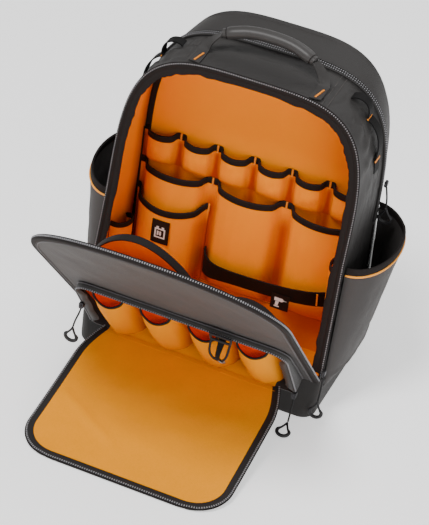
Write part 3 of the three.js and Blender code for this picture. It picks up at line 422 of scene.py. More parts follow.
def through(stops, steps):
    """Points on a smooth curve through the stops."""
    points = [Vector(s) for s in stops]
    ends = [points[0] * 2 - points[1]] + points + [points[-1] * 2 - points[-2]]
    curve = []
    for k in range(len(points) - 1):
        p0, p1, p2, p3 = ends[k:k + 4]
        knots = [0]
        for a, b in ((p0, p1), (p1, p2), (p2, p3)):
            knots.append(knots[-1] + max((b - a).length, 1e-6) ** 0.5)
        for s in range(steps):
            t = mix(knots[1], knots[2], s / steps)
            a1 = p0 * ((knots[1] - t) / (knots[1] - knots[0])) + p1 * ((t - knots[0]) / (knots[1] - knots[0]))
            a2 = p1 * ((knots[2] - t) / (knots[2] - knots[1])) + p2 * ((t - knots[1]) / (knots[2] - knots[1]))
            a3 = p2 * ((knots[3] - t) / (knots[3] - knots[2])) + p3 * ((t - knots[2]) / (knots[3] - knots[2]))
            b1 = a1 * ((knots[2] - t) / (knots[2] - knots[0])) + a2 * ((t - knots[0]) / (knots[2] - knots[0]))
            b2 = a2 * ((knots[3] - t) / (knots[3] - knots[1])) + a3 * ((t - knots[1]) / (knots[3] - knots[1]))
            curve.append(b1 * ((knots[2] - t) / (knots[2] - knots[1]))
                         + b2 * ((t - knots[1]) / (knots[2] - knots[1])))
    return curve + [points[-1]]


# Geometry Nodes: teeth, stitches and bar tacks along a path

def join(tree, *links):
    for source, target in links:
        tree.links.new(source, target)


def along_path_tree():
    """Sets a small block at every step of a path. The path's points carry the direction that is up."""
    tree = bpy.data.node_groups.get("blocks along a path")
    if tree:
        return tree
    tree = bpy.data.node_groups.new("blocks along a path", "GeometryNodeTree")
    face = tree.interface
    face.new_socket("Path", in_out="INPUT", socket_type="NodeSocketGeometry")
    for label, value in (("Spacing", 0.002), ("Length", 0.001), ("Width", 0.002), ("Height", 0.001),
                         ("Stagger", 0)):
        face.new_socket(label, in_out="INPUT", socket_type="NodeSocketFloat").default_value = value
    face.new_socket("Finish", in_out="INPUT", socket_type="NodeSocketMaterial")
    face.new_socket("Blocks", in_out="OUTPUT", socket_type="NodeSocketGeometry")
    make = tree.nodes.new
    given = make("NodeGroupInput")
    curve = make("GeometryNodeMeshToCurve")
    spots = make("GeometryNodeCurveToPoints")
    spots.mode = "LENGTH"
    up = make("GeometryNodeInputNamedAttribute")
    up.data_type = "FLOAT_VECTOR"
    up.inputs["Name"].default_value = "up"
    first = make("FunctionNodeAlignRotationToVector")
    first.axis = "X"
    second = make("FunctionNodeAlignRotationToVector")
    second.axis, second.pivot_axis = "Z", "X"
    side = make("ShaderNodeVectorMath")
    side.operation = "CROSS_PRODUCT"
    unit = make("ShaderNodeVectorMath")
    unit.operation = "NORMALIZE"
    index = make("GeometryNodeInputIndex")
    parity = make("ShaderNodeMath")
    parity.operation, parity.inputs[1].default_value = "MODULO", 2
    swing = make("ShaderNodeMath")
    swing.operation, swing.inputs[1].default_value = "SUBTRACT", 0.5
    reach = make("ShaderNodeMath")
    reach.operation = "MULTIPLY"
    offset = make("ShaderNodeVectorMath")
    offset.operation = "SCALE"
    shift = make("GeometryNodeSetPosition")
    size = make("ShaderNodeCombineXYZ")
    block = make("GeometryNodeMeshCube")
    placed = make("GeometryNodeInstanceOnPoints")
    real = make("GeometryNodeRealizeInstances")
    paint = make("GeometryNodeSetMaterial")
    result = make("NodeGroupOutput")
    join(tree, (given.outputs["Path"], curve.inputs["Mesh"]), (curve.outputs["Curve"], spots.inputs["Curve"]),
         (given.outputs["Spacing"], spots.inputs["Length"]),
         (spots.outputs["Tangent"], first.inputs["Vector"]),
         (first.outputs["Rotation"], second.inputs["Rotation"]),
         (up.outputs["Attribute"], second.inputs["Vector"]),
         (spots.outputs["Tangent"], side.inputs[0]), (up.outputs["Attribute"], side.inputs[1]),
         (side.outputs[0], unit.inputs[0]), (index.outputs[0], parity.inputs[0]),
         (parity.outputs[0], swing.inputs[0]), (swing.outputs[0], reach.inputs[0]),
         (given.outputs["Stagger"], reach.inputs[1]), (unit.outputs[0], offset.inputs[0]),
         (reach.outputs[0], offset.inputs["Scale"]), (spots.outputs["Points"], shift.inputs["Geometry"]),
         (offset.outputs[0], shift.inputs["Offset"]), (given.outputs["Length"], size.inputs["X"]),
         (given.outputs["Width"], size.inputs["Y"]), (given.outputs["Height"], size.inputs["Z"]),
         (size.outputs[0], block.inputs["Size"]), (shift.outputs["Geometry"], placed.inputs["Points"]),
         (block.outputs["Mesh"], placed.inputs["Instance"]),
         (second.outputs["Rotation"], placed.inputs["Rotation"]),
         (placed.outputs["Instances"], real.inputs["Geometry"]),
         (real.outputs["Geometry"], paint.inputs["Geometry"]),
         (given.outputs["Finish"], paint.inputs["Material"]),
         (paint.outputs["Geometry"], result.inputs["Blocks"]))
    return tree


def blocks_along(name, paths, spacing, length, width, height, finish, stagger=0.0):
    """A piece made of small blocks set along each path; sizes in metres."""
    points, edges, ups = [], [], []
    for path in paths:
        edges += [(len(points) + k, len(points) + k + 1) for k in range(len(path) - 1)]
        points += [tuple(c * MM for c in p) for p, _ in path]
        ups += [c for _, up in path for c in up]
    mesh = bpy.data.meshes.new(name)
    mesh.from_pydata(points, edges, [])
    mesh.attributes.new("up", "FLOAT_VECTOR", "POINT").data.foreach_set("vector", ups)
    piece = bpy.data.objects.new(name, mesh)
    bpy.context.scene.collection.objects.link(piece)
    tree = along_path_tree()
    modifier = piece.modifiers.new("blocks", "NODES")
    modifier.node_group = tree
    values = {"Spacing": spacing, "Length": length, "Width": width, "Height": height, "Stagger": stagger,
              "Finish": finish}
    for item in tree.interface.items_tree:
        if item.item_type == "SOCKET" and item.in_out == "INPUT" and item.name in values:
            modifier[item.identifier] = values[item.name]
    bpy.context.view_layer.update()
    depsgraph = bpy.context.evaluated_depsgraph_get()
    made = bpy.data.meshes.new_from_object(piece.evaluated_get(depsgraph), depsgraph=depsgraph)
    piece.modifiers.clear()
    piece.data = made
    if not len(made.polygons):
        raise RuntimeError(f"{name} has no blocks")
    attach(piece, "root")
    return piece



def stitches(name, paths, finish):
    """A running seam along each path."""
    size = bpy.context.scene.backpack_sizes
    return blocks_along(name, paths, size.stitch, size.stitch * STITCH_SHARE, size.thread, size.thread,
                        finish)


def zip_teeth(name, paths, finish, width=0.0020, height=0.0010):
    """Teeth of a zip along each path; width and height in metres."""
    pitch = bpy.context.scene.backpack_sizes.tooth_pitch
    return blocks_along(name, paths, pitch, pitch * TOOTH_SHARE, width, height, finish)


# Finishes: shared effects first, then one material for each kind of cloth, metal and rubber

def effect(name, inputs, outputs):
    """An empty shader node group with named sockets, or None where it is already built."""
    if name in bpy.data.node_groups:
        return None
    tree = bpy.data.node_groups.new(name, "ShaderNodeTree")
    for label, kind, value in inputs:
        socket = tree.interface.new_socket(label, in_out="INPUT", socket_type=f"NodeSocket{kind}")
        if value is not None:
            socket.default_value = value
    for label in outputs:
        tree.interface.new_socket(label, in_out="OUTPUT", socket_type="NodeSocketFloat")
    return tree


def arithmetic(tree, operation, a, b=None):
    node = tree.nodes.new("ShaderNodeMath")
    node.operation = operation
    for k, value in enumerate((a, b)):
        if value is None:
            continue
        if isinstance(value, (int, float)):
            node.inputs[k].default_value = value
        else:
            tree.links.new(value, node.inputs[k])
    return node.outputs[0]


def weave_effect():
    """Threads that pass over and under each other, from the UV map in metres."""
    tree = effect("cloth weave",
                  [("Vector", "Vector", None), ("Across", "Float", 0.001), ("Along", "Float", 0.001)],
                  ["Height"])
    if tree:
        given = tree.nodes.new("NodeGroupInput")
        split = tree.nodes.new("ShaderNodeSeparateXYZ")
        result = tree.nodes.new("NodeGroupOutput")
        tree.links.new(given.outputs["Vector"], split.inputs[0])
        waves = []
        for axis, size in (("X", "Across"), ("Y", "Along")):
            turn = arithmetic(tree, "DIVIDE", split.outputs[axis], given.outputs[size])
            waves.append(arithmetic(tree, "ABSOLUTE",
                                    arithmetic(tree, "SINE", arithmetic(tree, "MULTIPLY", turn,
                                                                       math.pi))))
        tree.links.new(arithmetic(tree, "MULTIPLY", waves[0], waves[1]), result.inputs["Height"])
    return bpy.data.node_groups["cloth weave"]


def wear_effect():
    """Broad cloudy variation and fine dust, from Object coordinates."""
    tree = effect("cloudy wear", [("Scale", "Float", 14.0)], ["Cloud", "Dust"])
    if tree:
        given = tree.nodes.new("NodeGroupInput")
        place = tree.nodes.new("ShaderNodeTexCoord")
        result = tree.nodes.new("NodeGroupOutput")
        for label, factor, detail in (("Cloud", 1, 3), ("Dust", 22, 5)):
            cloud = tree.nodes.new("ShaderNodeTexNoise")
            cloud.inputs["Detail"].default_value = detail
            tree.links.new(place.outputs["Object"], cloud.inputs["Vector"])
            tree.links.new(arithmetic(tree, "MULTIPLY", given.outputs["Scale"], factor),
                           cloud.inputs["Scale"])
            tree.links.new(cloud.outputs["Fac"], result.inputs[label])
    return bpy.data.node_groups["cloudy wear"]


def finish(name, colour, rough=0.8, weave=0.0, along=None, depth=0.25, cloud=0.18, dust=0.06, metal=0.0,
           sheen=0.0, grain=0.0, shine=0.3, unwrapped=True, deep=None):
    """A material: its colour varies slowly, threads or grain stand in relief, and deep darkens it as painted
    shade where the fold_shade attribute marks its folds.
    """
    made = bpy.data.materials.get(name)
    if made:
        return made
    made = bpy.data.materials.new(name)
    made.use_nodes = True
    tree = made.node_tree
    shader = tree.nodes["Principled BSDF"]
    shader.inputs["Metallic"].default_value = metal
    shader.inputs["Sheen Weight"].default_value = sheen
    shader.inputs["Sheen Roughness"].default_value = 0.5
    shader.inputs["Specular IOR Level"].default_value = shine
    wear = tree.nodes.new("ShaderNodeGroup")
    wear.node_tree = wear_effect()
    wear.inputs["Scale"].default_value = 14
    shade = arithmetic(tree, "ADD", arithmetic(tree, "MULTIPLY", wear.outputs["Cloud"], 2 * cloud), 1 - cloud)
    shade = arithmetic(tree, "ADD", shade, arithmetic(tree, "MULTIPLY", wear.outputs["Dust"], 2 * dust))
    height = arithmetic(tree, "MULTIPLY", wear.outputs["Dust"], grain)
    if weave:
        threads = tree.nodes.new("ShaderNodeGroup")
        threads.node_tree = weave_effect()
        place = tree.nodes.new("ShaderNodeTexCoord")
        if unwrapped:
            tree.links.new(place.outputs["UV"], threads.inputs["Vector"])
        else:
            split, level = tree.nodes.new("ShaderNodeSeparateXYZ"), tree.nodes.new("ShaderNodeCombineXYZ")
            tree.links.new(place.outputs["Object"], split.inputs[0])
            tree.links.new(split.outputs["X"], level.inputs["X"])
            tree.links.new(split.outputs["Z"], level.inputs["Y"])
            tree.links.new(level.outputs[0], threads.inputs["Vector"])
        threads.inputs["Across"].default_value = weave
        threads.inputs["Along"].default_value = along or weave
        height = arithmetic(tree, "ADD", height, threads.outputs["Height"])
        relief = arithmetic(tree, "MULTIPLY", threads.outputs["Height"], depth)
        shade = arithmetic(tree, "MULTIPLY", shade, arithmetic(tree, "ADD", relief, 1 - depth / 2))
    tint = tree.nodes.new("ShaderNodeMix")
    tint.data_type = "RGBA"
    tint.blend_type = "MULTIPLY"
    tint.inputs["Factor"].default_value = 1
    tint.inputs["A"].default_value = (*colour, 1)
    grey = tree.nodes.new("ShaderNodeCombineXYZ")
    for axis in "XYZ":
        tree.links.new(shade, grey.inputs[axis])
    tree.links.new(grey.outputs[0], tint.inputs["B"])
    # Painted shade: the colour is multiplied towards deep as far as the fold_shade attribute reaches.
    if deep:
        folds, fold = tree.nodes.new("ShaderNodeAttribute"), tree.nodes.new("ShaderNodeMix")
        folds.attribute_name, fold.data_type, fold.blend_type = "fold_shade", "RGBA", "MULTIPLY"
        tree.links.new(folds.outputs["Fac"], fold.inputs["Factor"])
        tree.links.new(tint.outputs["Result"], fold.inputs["A"])
        fold.inputs["B"].default_value = (*deep, 1)
        tint = fold
    tree.links.new(tint.outputs["Result"], shader.inputs["Base Color"])
    tree.links.new(arithmetic(tree, "ADD", arithmetic(tree, "MULTIPLY", wear.outputs["Cloud"], 0.16),
                              rough - 0.08),
                   shader.inputs["Roughness"])
    bump = tree.nodes.new("ShaderNodeBump")
    bump.inputs["Strength"].default_value = 0.5 if weave or grain else 0.15
    bump.inputs["Distance"].default_value = 0.0002
    tree.links.new(height, bump.inputs["Height"])
    tree.links.new(bump.outputs["Normal"], shader.inputs["Normal"])
    return made


def lined(name, colour, cloud, **more):
    """The finish of a thin smooth lining cloth."""
    return finish(name, colour, 0.6, 0.0006, depth=0.1, cloud=cloud, shine=0.05, **more)


def finishes():
    """All finishes, by the part of the bag that wears them."""
    c = bpy.context.scene.backpack_colours
    s = bpy.context.scene.backpack_sizes
    return {
        "outer": finish("outer cloth", c.outer, 0.6, s.weave, depth=0.25, sheen=0.02, shine=0.34),
        "panel": finish("panel cloth", c.panel, 0.66, s.weave, depth=0.2, sheen=0.02, shine=0.22),
        "boot": finish("boot coating", c.outer, 0.6, s.weave, depth=0.15, grain=0.4, shine=0.2),
        "inside": finish("dark inner cloth", srgb("1f1c1b"), 0.85, s.weave, depth=0.2),
        "trim": finish("bound edge", c.trim, 0.75, 0.0016, 0.0007, depth=0.3, cloud=0.12, shine=0.15),
        "lining": lined("lining cloth", c.lining, 0.05, deep=FOLD_PAINTED_SHADE),
        # Painted shade: the floor lining is the lining's orange set darker, for the shade down in the bottom
        # of the bag.
        "low": lined("floor lining cloth", srgb("cf6f00"), 0.08),
        "flap": lined("flap lining cloth", c.flap, 0.04),
        "pouch": lined("pouch cloth", c.pouch, 0.04, deep=FOLD_PAINTED_SHADE),
        "red": lined("red lining cloth", c.red, 0.15),
        "webbing": finish("ribbed webbing", c.webbing, 0.7, 0.0012, 0.0018, depth=0.4, cloud=0.12,
                          shine=0.15),
        "tape": finish("zip tape", srgb("242222"), 0.7, 0.0008, 0.0016, depth=0.3),
        "teeth": finish("zip teeth", srgb("8b8a8d"), 0.4, cloud=0.1),
        "grip": finish("grip rubber", srgb("3a3837"), 0.42, cloud=0.1, grain=0.5),
        "mesh": finish("spacer mesh", srgb("232224"), 0.9, 0.0034, depth=0.8, sheen=0.1, unwrapped=False),
        "pad": finish("padded strap cloth", c.outer, 0.75, s.weave, depth=0.25, shine=0.12, unwrapped=False),
        "thread": finish("orange thread", c.thread, 0.5, cloud=0.05),
        "dark_thread": finish("dark thread", srgb("55504d"), 0.6, cloud=0.05),
        "piping": finish("orange piping", c.piping, 0.5, 0.0008, depth=0.15, cloud=0.04),
        "grey_piping": finish("grey piping", srgb("4a484a"), 0.5, 0.0008, depth=0.15, cloud=0.05),
        "label": finish("label plastic", srgb("141313"), 0.4, cloud=0.05),
        "mark": finish("label mark", srgb("d9d8d5"), 0.5, cloud=0.03),
        "metal": finish("clip metal", srgb("8d8f93"), 0.28, metal=1.0, cloud=0.08),
        "slider": finish("slider metal", srgb("3d3c3e"), 0.38, metal=0.8, cloud=0.1),
        "cord": finish("pull cord", srgb("1c1b1b"), 0.7, 0.0009, depth=0.5),
        "rubber": finish("pull rubber", srgb("262526"), 0.45, grain=0.2),
    }


# The pieces, each group made by its own operator

class BackpackMaker:
    """What the operators share."""
    bl_options = {"REGISTER", "UNDO"}


class BACKPACK_OT_camera(BackpackMaker, bpy.types.Operator):
    """Set the camera to the photograph's angle"""
    bl_idname = "backpack.camera"
    bl_label = "Camera"

    def execute(self, context):
        a, e, r = (math.radians(SHOT[k]) for k in ("azimuth", "elevation", "roll"))
        back = Vector((math.sin(a) * math.cos(e), -math.cos(a) * math.cos(e), math.sin(e)))
        level = Vector((math.cos(a), math.sin(a), 0))
        rise = back.cross(level)
        right = level * math.cos(r) + rise * math.sin(r)
        up = rise * math.cos(r) - level * math.sin(r)
        width, height = SHOT["size"]
        reach = SHOT["distance"] / SHOT["focal"]
        place = (Vector(SHOT["target"]) + back * SHOT["distance"]
                 - right * ((SHOT["middle"][0] - width / 2) * reach)
                 + up * ((SHOT["middle"][1] - height / 2) * reach))
        data = bpy.data.cameras.new("photo camera")
        data.sensor_width = 36
        data.lens = 36 * SHOT["focal"] / height
        data.clip_end = 20
        camera = bpy.data.objects.new("photo camera", data)
        turn = Matrix((right, up, back)).transposed().to_4x4()
        camera.matrix_world = Matrix.Translation(place * MM) @ turn
        context.scene.collection.objects.link(camera)
        context.scene.camera = camera
        return {"FINISHED"}


PULLS = {
    "main_pull": [(183.6, -106, 72.4), (184.6, -108, 62), (185, -111, 50), (185, -114, 38)],
    "pocket_pull_right": [(156, -132.4, 43.7), (156.4, -137, 33), (156.6, -141, 21), (156.6, -144, 11)],
    "pocket_pull_left": [(-149.8, -176.6, 103.8), (-152, -178.5, 94), (-155.5, -180, 82), (-158, -180, 71)],
    "rear_pull": [(182.4, 53, 294.4), (184, 55, 284), (185.4, 57, 272), (186, 58, 260)],
}
PULL_HANG = {"main_pull": (0, -0.15, -1), "pocket_pull_right": (0, -1, -0.32),
             "pocket_pull_left": (-0.1, 0, -1),
             "rear_pull": (0.05, 0.05, -1)}


class BACKPACK_OT_pulls(BackpackMaker, bpy.types.Operator):
    """Make the zip pulls: a slider, a cord and a moulded loop"""
    bl_idname = "backpack.pulls"
    bl_label = "Zip pulls"

    def execute(self, context):
        look = finishes()
        for name, stops in PULLS.items():
            route = through(stops, 8)
            path = [(p, Vector((1, 0, 0))) for p in route]
            cord = sweep(f"{name}_cord_braid", [path], round_profile(1.3, 12), look["cord"])
            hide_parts(f"{name}_cord")
            hang = Vector(PULL_HANG[name]).normalized()
            wide = Vector((1, 0, 0)) - hang * hang.x
            wide.normalize()
            end = Vector(stops[-1]) + hang * 0.5
            loop_stops = [(0, 1.5), (1.6, 5.5), (4.6, 11), (8.6, 16.5), (6.4, 22), (0, 24.3),
                          (-6.4, 22), (-8.6, 16.5), (-4.6, 11), (-1.6, 5.5)]
            ring = [end + wide * a + hang * b for a, b in loop_stops]
            ring = through(ring + ring[:1], 5)[:-1]
            normal = hang.cross(wide)
            fat = lambda share: 0.72 + 0.5 * smooth((0.3 - abs(share - 0.5)) / 0.1)
            loop = sweep(f"{name}_loop_moulded", [[(p, normal) for p in ring + ring[:1]]],
                         round_profile(2.15, 10), look["rubber"], scale=fat)
            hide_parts(f"{name}_loop")
            self.slider(name, stops, look)
        return {"FINISHED"}

    def slider(self, name, stops, look):
        """A slider body and a bridge, in its solid's box."""
        low, high = (Vector(c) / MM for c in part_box(f"{name}_slider"))
        middle, size = (low + high) / 2, high - low
        body = tape_profile(size.x * 0.9, size.z * 0.9, 1.6)
        paths = [[(middle - Vector((0, size.y * 0.34, 0)), (0, 0, 1)),
                  (middle + Vector((0, size.y * 0.4, 0)), (0, 0, 1))]]
        block = sweep(f"{name}_slider_body", paths, body, look["slider"])
        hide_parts(f"{name}_slider")
        top = Vector(stops[0])
        arc = [middle + Vector((0, -size.y * 0.35, size.z * 0.25)), middle + Vector((0, -size.y * 0.5, 0)),
               top + Vector((0, -0.3, 0.6))]
        sweep(f"{name}_slider_bridge", [[(p, (1, 0, 0)) for p in through(arc, 6)]], round_profile(0.8, 8),
              look["slider"])


def lift_puff(share, depth):
    """How far the padded outer cloth stands off its skin between seams."""
    puff = 1.3 * math.sin(math.pi * clamp(depth)) ** 0.6
    near = min(share, 1 - share)
    for at, middle, wide, deep, high in SHOULDER_FOLDS:
        puff += high * math.exp(-((near - at) / wide) ** 2 - ((depth - middle - (near - at) * 2) / deep) ** 2)
    for seam in OUTER_SEAMS:
        puff -= 1.6 * math.exp(-((share - seam) / 0.0035) ** 2) * smooth(depth * 8) * smooth((1 - depth) * 8)
    return puff


OUTER_SEAMS = (0.42, 0.58)    # seams over the top, left and right of the handle
# Soft folds on each shoulder: share of the arch, depth, their two reaches, and height in millimetres
SHOULDER_FOLDS = ((0.185, 0.36, 0.016, 0.2, 2.4), (0.232, 0.3, 0.011, 0.13, 3.2),
                  (0.268, 0.33, 0.012, 0.12, 3.6),
                  (0.312, 0.28, 0.014, 0.13, 3.2), (0.352, 0.45, 0.012, 0.2, 2.4))


class BACKPACK_OT_body(BackpackMaker, bpy.types.Operator):
    """Make the padded main cloth and the rear compartment"""
    bl_idname = "backpack.body"
    bl_label = "Main cloth"

    def execute(self, context):
        look = finishes()
        fold = context.scene.backpack_sizes.fold / MM
        end = 1 - GAP / (RIDGE_Y - FRONT_FOOT_Y)
        grid = grid_of(220, 34, lambda u, v: skin(u, v * end, lift_puff(u, v)))
        free = lambda u, v: smooth(v * 7) * smooth((1 - v) * 7) * smooth(u * 14) * smooth((1 - u) * 14)
        grid = crumple(grid, fold * 1.35, 36, 3, mask=free, creases=1.0, inward=True)
        shell = cloth("main_cloth", grid, CLOTH - 1.8, look["outer"])
        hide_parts("body_shell")
        line = lambda s: [(skin(s, v / 30, lift_puff(s + 0.007, v / 30) + 0.25), skin_out(s, v / 30))
                          for v in range(1, 29)]
        seams = [even(line(s), 3) for seam in OUTER_SEAMS for s in (seam - 0.006, seam + 0.006)]
        stitches("top_seam_stitches", seams, look["dark_thread"])
        self.rear(look)
        return {"FINISHED"}

    def rear(self, look):
        start = 1 + GAP / (BACK_Y - RIDGE_Y)
        steps, foot = 160, 22

        def ring(depth, lift, y, foot_z=BOOT_TOP + GAP, share=1.0):
            points = [skin(i / steps, depth, lift, foot_z) for i in range(steps + 1)]
            points = [Vector((p.x, y, p.z)) for p in points]
            a, b = points[-1], points[0]
            points += [a.lerp(b, k / foot) for k in range(1, foot)]
            centre = Vector((0, y, 235))
            return [centre.lerp(p, share) for p in points]

        round_depth = 2 - BACK_ROUND / (BACK_Y - RIDGE_Y)
        rings = [ring(2, -BACK_ROUND, BACK_Y, share=s) for s in (0.25, 0.5, 0.75, 0.9, 1)]
        for k in range(1, 8):
            a = math.pi / 2 * k / 8
            rings.append(ring(2, -BACK_ROUND * (1 - math.sin(a)), BACK_Y - BACK_ROUND * (1 - math.cos(a))))
        for k in range(9):
            d = mix(round_depth, start, k / 8)
            rings.append(ring(d, 0.9 * math.sin(math.pi * k / 8), mix(RIDGE_Y, BACK_Y, d - 1)))
        inner = BOOT_TOP + GAP + CLOTH
        rings.append(ring(start, -CLOTH, RIDGE_Y + GAP, inner))
        rings.append(ring(round_depth, -CLOTH, BACK_Y - BACK_ROUND, inner))
        rings.append(ring(2, -BACK_ROUND - CLOTH / 2, BACK_Y - CLOTH, inner))
        shell = vessel("rear_cloth", rings, look["outer"])
        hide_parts("back_shell")


def front_path(lift, forward, start=RIM_START_Z, steps=220, shape=FRONT):
    """Path round the opening, on the front plane, with the direction away from the bag."""
    path = []
    for i in range(steps + 1):
        x, z, out = arch_lifted(shape, i / steps, lift, start)
        path.append((Vector((x, front_y(z) - forward, z)), Vector((out.x, 0, out.y))))
    return path


class BACKPACK_OT_zips(BackpackMaker, bpy.types.Operator):
    """Make the band and zip round the opening and the zip over the ridge"""
    bl_idname = "backpack.zips"
    bl_label = "Zips"

    def execute(self, context):
        look = finishes()

        def band(u, v):
            wave = 2.6 * soft_noise((u * 1100, 0, 0), 34, 5) + 1.6 * soft_noise((u * 1100, 0, 0), 13, 6)
            lift = mix(1.5, -RIM_WIDTH - wave * smooth((v - 0.5) * 2), v)
            roll = 0.9 + 1.5 * math.sin(math.pi * clamp(v / 0.45))
            roll += 0.8 * math.sin(math.pi * clamp((v - 0.42) / 0.58))
            x, z, _ = arch_lifted(FRONT, u, lift, RIM_START_Z)
            return Vector((x, front_y(z) - GAP - roll, z))

        grid = grid_of(260, 16, band)
        rim = cloth("opening_band", grid, 0.8, look["trim"], turned=True)
        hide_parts("opening_rim")
        zip_teeth("opening_zip_teeth", [even(front_path(0.9, 1.6), 4)], look["teeth"], 0.0018, 0.0012)
        sweep("opening_piping", [front_path(1.7, 0.1)], round_profile(1.0, 8), look["trim"])
        self.ridge(look)
        return {"FINISHED"}

    def ridge(self, look):
        steps = 200
        share = lambda u: mix(ARCH_SIDE, 1 - ARCH_SIDE, u)

        def tape(u, v):
            lift = 0.5 + 2.4 * math.sin(math.pi * clamp((v - 0.02) / 0.96)) ** 0.35
            lift += 0.9 * math.exp(-((v - 0.5) / 0.16) ** 2)
            return skin(share(u), mix(1 - 0.055, 1 + 0.11, v), lift)

        band = cloth("ridge_zip_tape", grid_of(steps, 14, tape), 0.6, look["tape"])
        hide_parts("ridge_zip")
        chains = []
        closed_share = lambda u: mix(0.165, 0.835, u)
        for depth in (0.985, 1.045):
            chains.append(even([(skin(closed_share(i / steps), depth, 3.55),
                                 skin_out(closed_share(i / steps), depth))
                                for i in range(steps + 1)], 4))
        zip_teeth("ridge_zip_teeth", chains, look["teeth"], 0.0016, 0.0009)
        lips = []
        for depth in (0.95, 1.1):
            lips.append([(skin(share(i / steps), depth, 2.6), skin_out(share(i / steps), depth))
                         for i in range(steps + 1)])
        sweep("ridge_zip_lips", lips, tape_profile(1.6, 2.2, 0.7), look["outer"])
        seams = []
        for side in (lambda u: ARCH_SIDE * u, lambda u: 1 - ARCH_SIDE * u):
            seams.append([(skin(side(k / 20), 1.003, 0.5), skin_out(side(k / 20), 1)) for k in range(1, 20)])
        sweep("side_seam_piping", seams, round_profile(1.3, 8), look["trim"])


class BACKPACK_OT_boot(BackpackMaker, bpy.types.Operator):
    """Make the moulded boot"""
    bl_idname = "backpack.boot"
    bl_label = "Boot"

    def execute(self, context):
        look = finishes()
        heights = [(0, 3.0), (0.6, 2.1), (1.6, 1.4), (3.2, 1.0), (8, 0.6), (16, 0.4), (26, 0.2), (38, 0.1),
                   (50, 0), (57, 0), (59.5, -0.5), (61, -0.4), (62, 0.3)]
        rings = [self.ring(z, inset, mix(BOOT_CORNER, BOOT_CORNER_TOP, smooth(z / BOOT_TOP)))
                 for z, inset in heights]
        rings.append(self.ring(BOOT_TOP, BOOT_WALL, BOOT_CORNER_TOP))
        rings.append(self.ring(30, BOOT_WALL + 1, 12))
        rings.append(self.ring(BOOT_FLOOR, BOOT_DRAFT + BOOT_WALL, BOOT_CORNER))
        boot = vessel("moulded_boot", rings, look["boot"], angle=50)
        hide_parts("boot")
        edge = [(p, Vector((0, 0, 1))) for p in self.ring(BOOT_TOP - 4.5, -0.25, BOOT_CORNER_TOP)]
        edge.append(edge[0])
        stitches("boot_stitches", [even(edge, 3)], look["dark_thread"])
        return {"FINISHED"}

    @staticmethod
    def ring(z, inset, radius, depth_end=BACK_Y):
        """The boot's plan at a height, drawn in by inset."""
        half = 180 - inset
        front = front_y(z) + inset - BOOT_TOE * (1 - z / BOOT_TOP) ** 2
        back = depth_end - inset
        points = []
        corners = [(half, back, 0), (-half, back, 90), (-half, front, 180), (half, front, 270)]
        for k, (x, y, start) in enumerate(corners):
            cx, cy = x - math.copysign(radius, x), y - (radius if y > 0 else -radius)
            for step in range(9):
                a = math.radians(start + 90 * step / 8)
                points.append(Vector((cx + radius * math.cos(a), cy + radius * math.sin(a), z)))
            nx, ny, nstart = corners[(k + 1) % 4]
            to = Vector((nx - math.copysign(radius, nx), ny - (radius if ny > 0 else -radius), z))
            a = math.radians(nstart)
            to += Vector((radius * math.cos(a), radius * math.sin(a), 0))
            last = points[-1]
            points += [last.lerp(to, s / 14) for s in range(1, 14)]
        for p in points:
            bulge = 0.8 * math.sin(math.pi * z / BOOT_TOP)
            p.x += math.copysign(bulge, p.x) if abs(p.x) > half - 2 else 0
        return points


def strap_grid(stops, steps, width, thickness, wide, sides=6, taper=None):
    """Upper face of a strap along a curve: wide(share) is the way across, taper its share of the width."""
    curve = through(stops, steps)
    last = len(curve) - 1
    grid = []
    for i, p in enumerate(curve):
        along = (curve[min(i + 1, last)] - curve[max(i - 1, 0)]).normalized()
        across = Vector(wide(i / last)).normalized()
        normal = along.cross(across).normalized()
        full = width * (taper(i / last) if taper else 1)
        grid.append([p + across * (full * (j / sides - 0.5)) + normal * (thickness / 2)
                     for j in range(sides + 1)])
    return np.array([[list(p) for p in row] for row in grid], float)


def tacks(name, marks, finish, width=0.0026, height=0.0009):
    """Bar tacks: dense thread from point to point; each mark is (start, end, up)."""
    paths = [[(Vector(a), Vector(up)), (Vector(b), Vector(up))] for a, b, up in marks]
    return blocks_along(name, paths, 0.00078, 0.0006, width, height, finish, stagger=0.0003)


def closing(share, foot, least):
    return mix(least, 1, math.sqrt(1 - (1 - clamp(share / foot)) ** 2))


def pleat_stop(row, u, v=1.0):
    """A pleated strip at a share of its run: its x, how far it stands out and how it dips."""
    t = u * row["count"]
    pocket = min(int(t), row["count"] - 1)
    t -= pocket
    flat = mix(row["seam"], row["seam"] + row.get("pinch", 0), v ** 2)
    ramp = row["ramp"]
    inner = clamp((t - flat) / (1 - 2 * flat))
    front = 0
    if 0 < inner < 1:
        front = math.sin(math.pi * inner) ** row["square"] * smooth(min(inner, 1 - inner) / ramp)
    stand = front
    return row["left"] + row["pitch"] * (pocket + t), row["bulge"] * stand, front


def seam_distances(row, columns):
    """For each column of a pleated strip, 0 at a seam and 1 in the middle of a pocket."""
    return [1 - abs(2 * (u * row["count"] / columns % 1) - 1) for u in range(columns + 1)]


def pleated(name, row, place, look, seed, across=32, along=18, droop=1.0):
    """A strip of pleated pockets with soft folds down from its rim."""
    cloth_thick = 1.6

    def point(u, v):
        x, stand, dip = pleat_stop(row, u, v)
        narrow = closing(v, row["foot"], row["least"]) * mix(1, row["gather"], v ** 3)
        share = stand / row["bulge"]
        folds = 1.2 * soft_noise((x, v * 90, 0), 22, seed) + 0.9 * soft_noise((x, v * 20, 9), 9, seed + 4)
        soft = droop * share * folds
        return place(x, cloth_thick + stand * narrow + soft * smooth(v * 6) * smooth((1 - v) * 9),
                     mix(row["low"], row["rim"] - row["dip"] * dip, v))

    columns = row["count"] * across
    sides = seam_distances(row, columns)
    # Painted shade: darker next to each seam between pockets, though not near the rim, and darker towards the
    # foot.
    shade = [[clamp(0.95 * math.exp(-(side / 0.2) ** 2) * smooth((1 - v / along) * 4)
                    + 0.5 * (1 - v / along) ** 3)
              for v in range(along + 1)] for side in sides]
    return cloth(name, grid_of(columns, along, point), cloth_thick, look, angle=60, shade=shade)


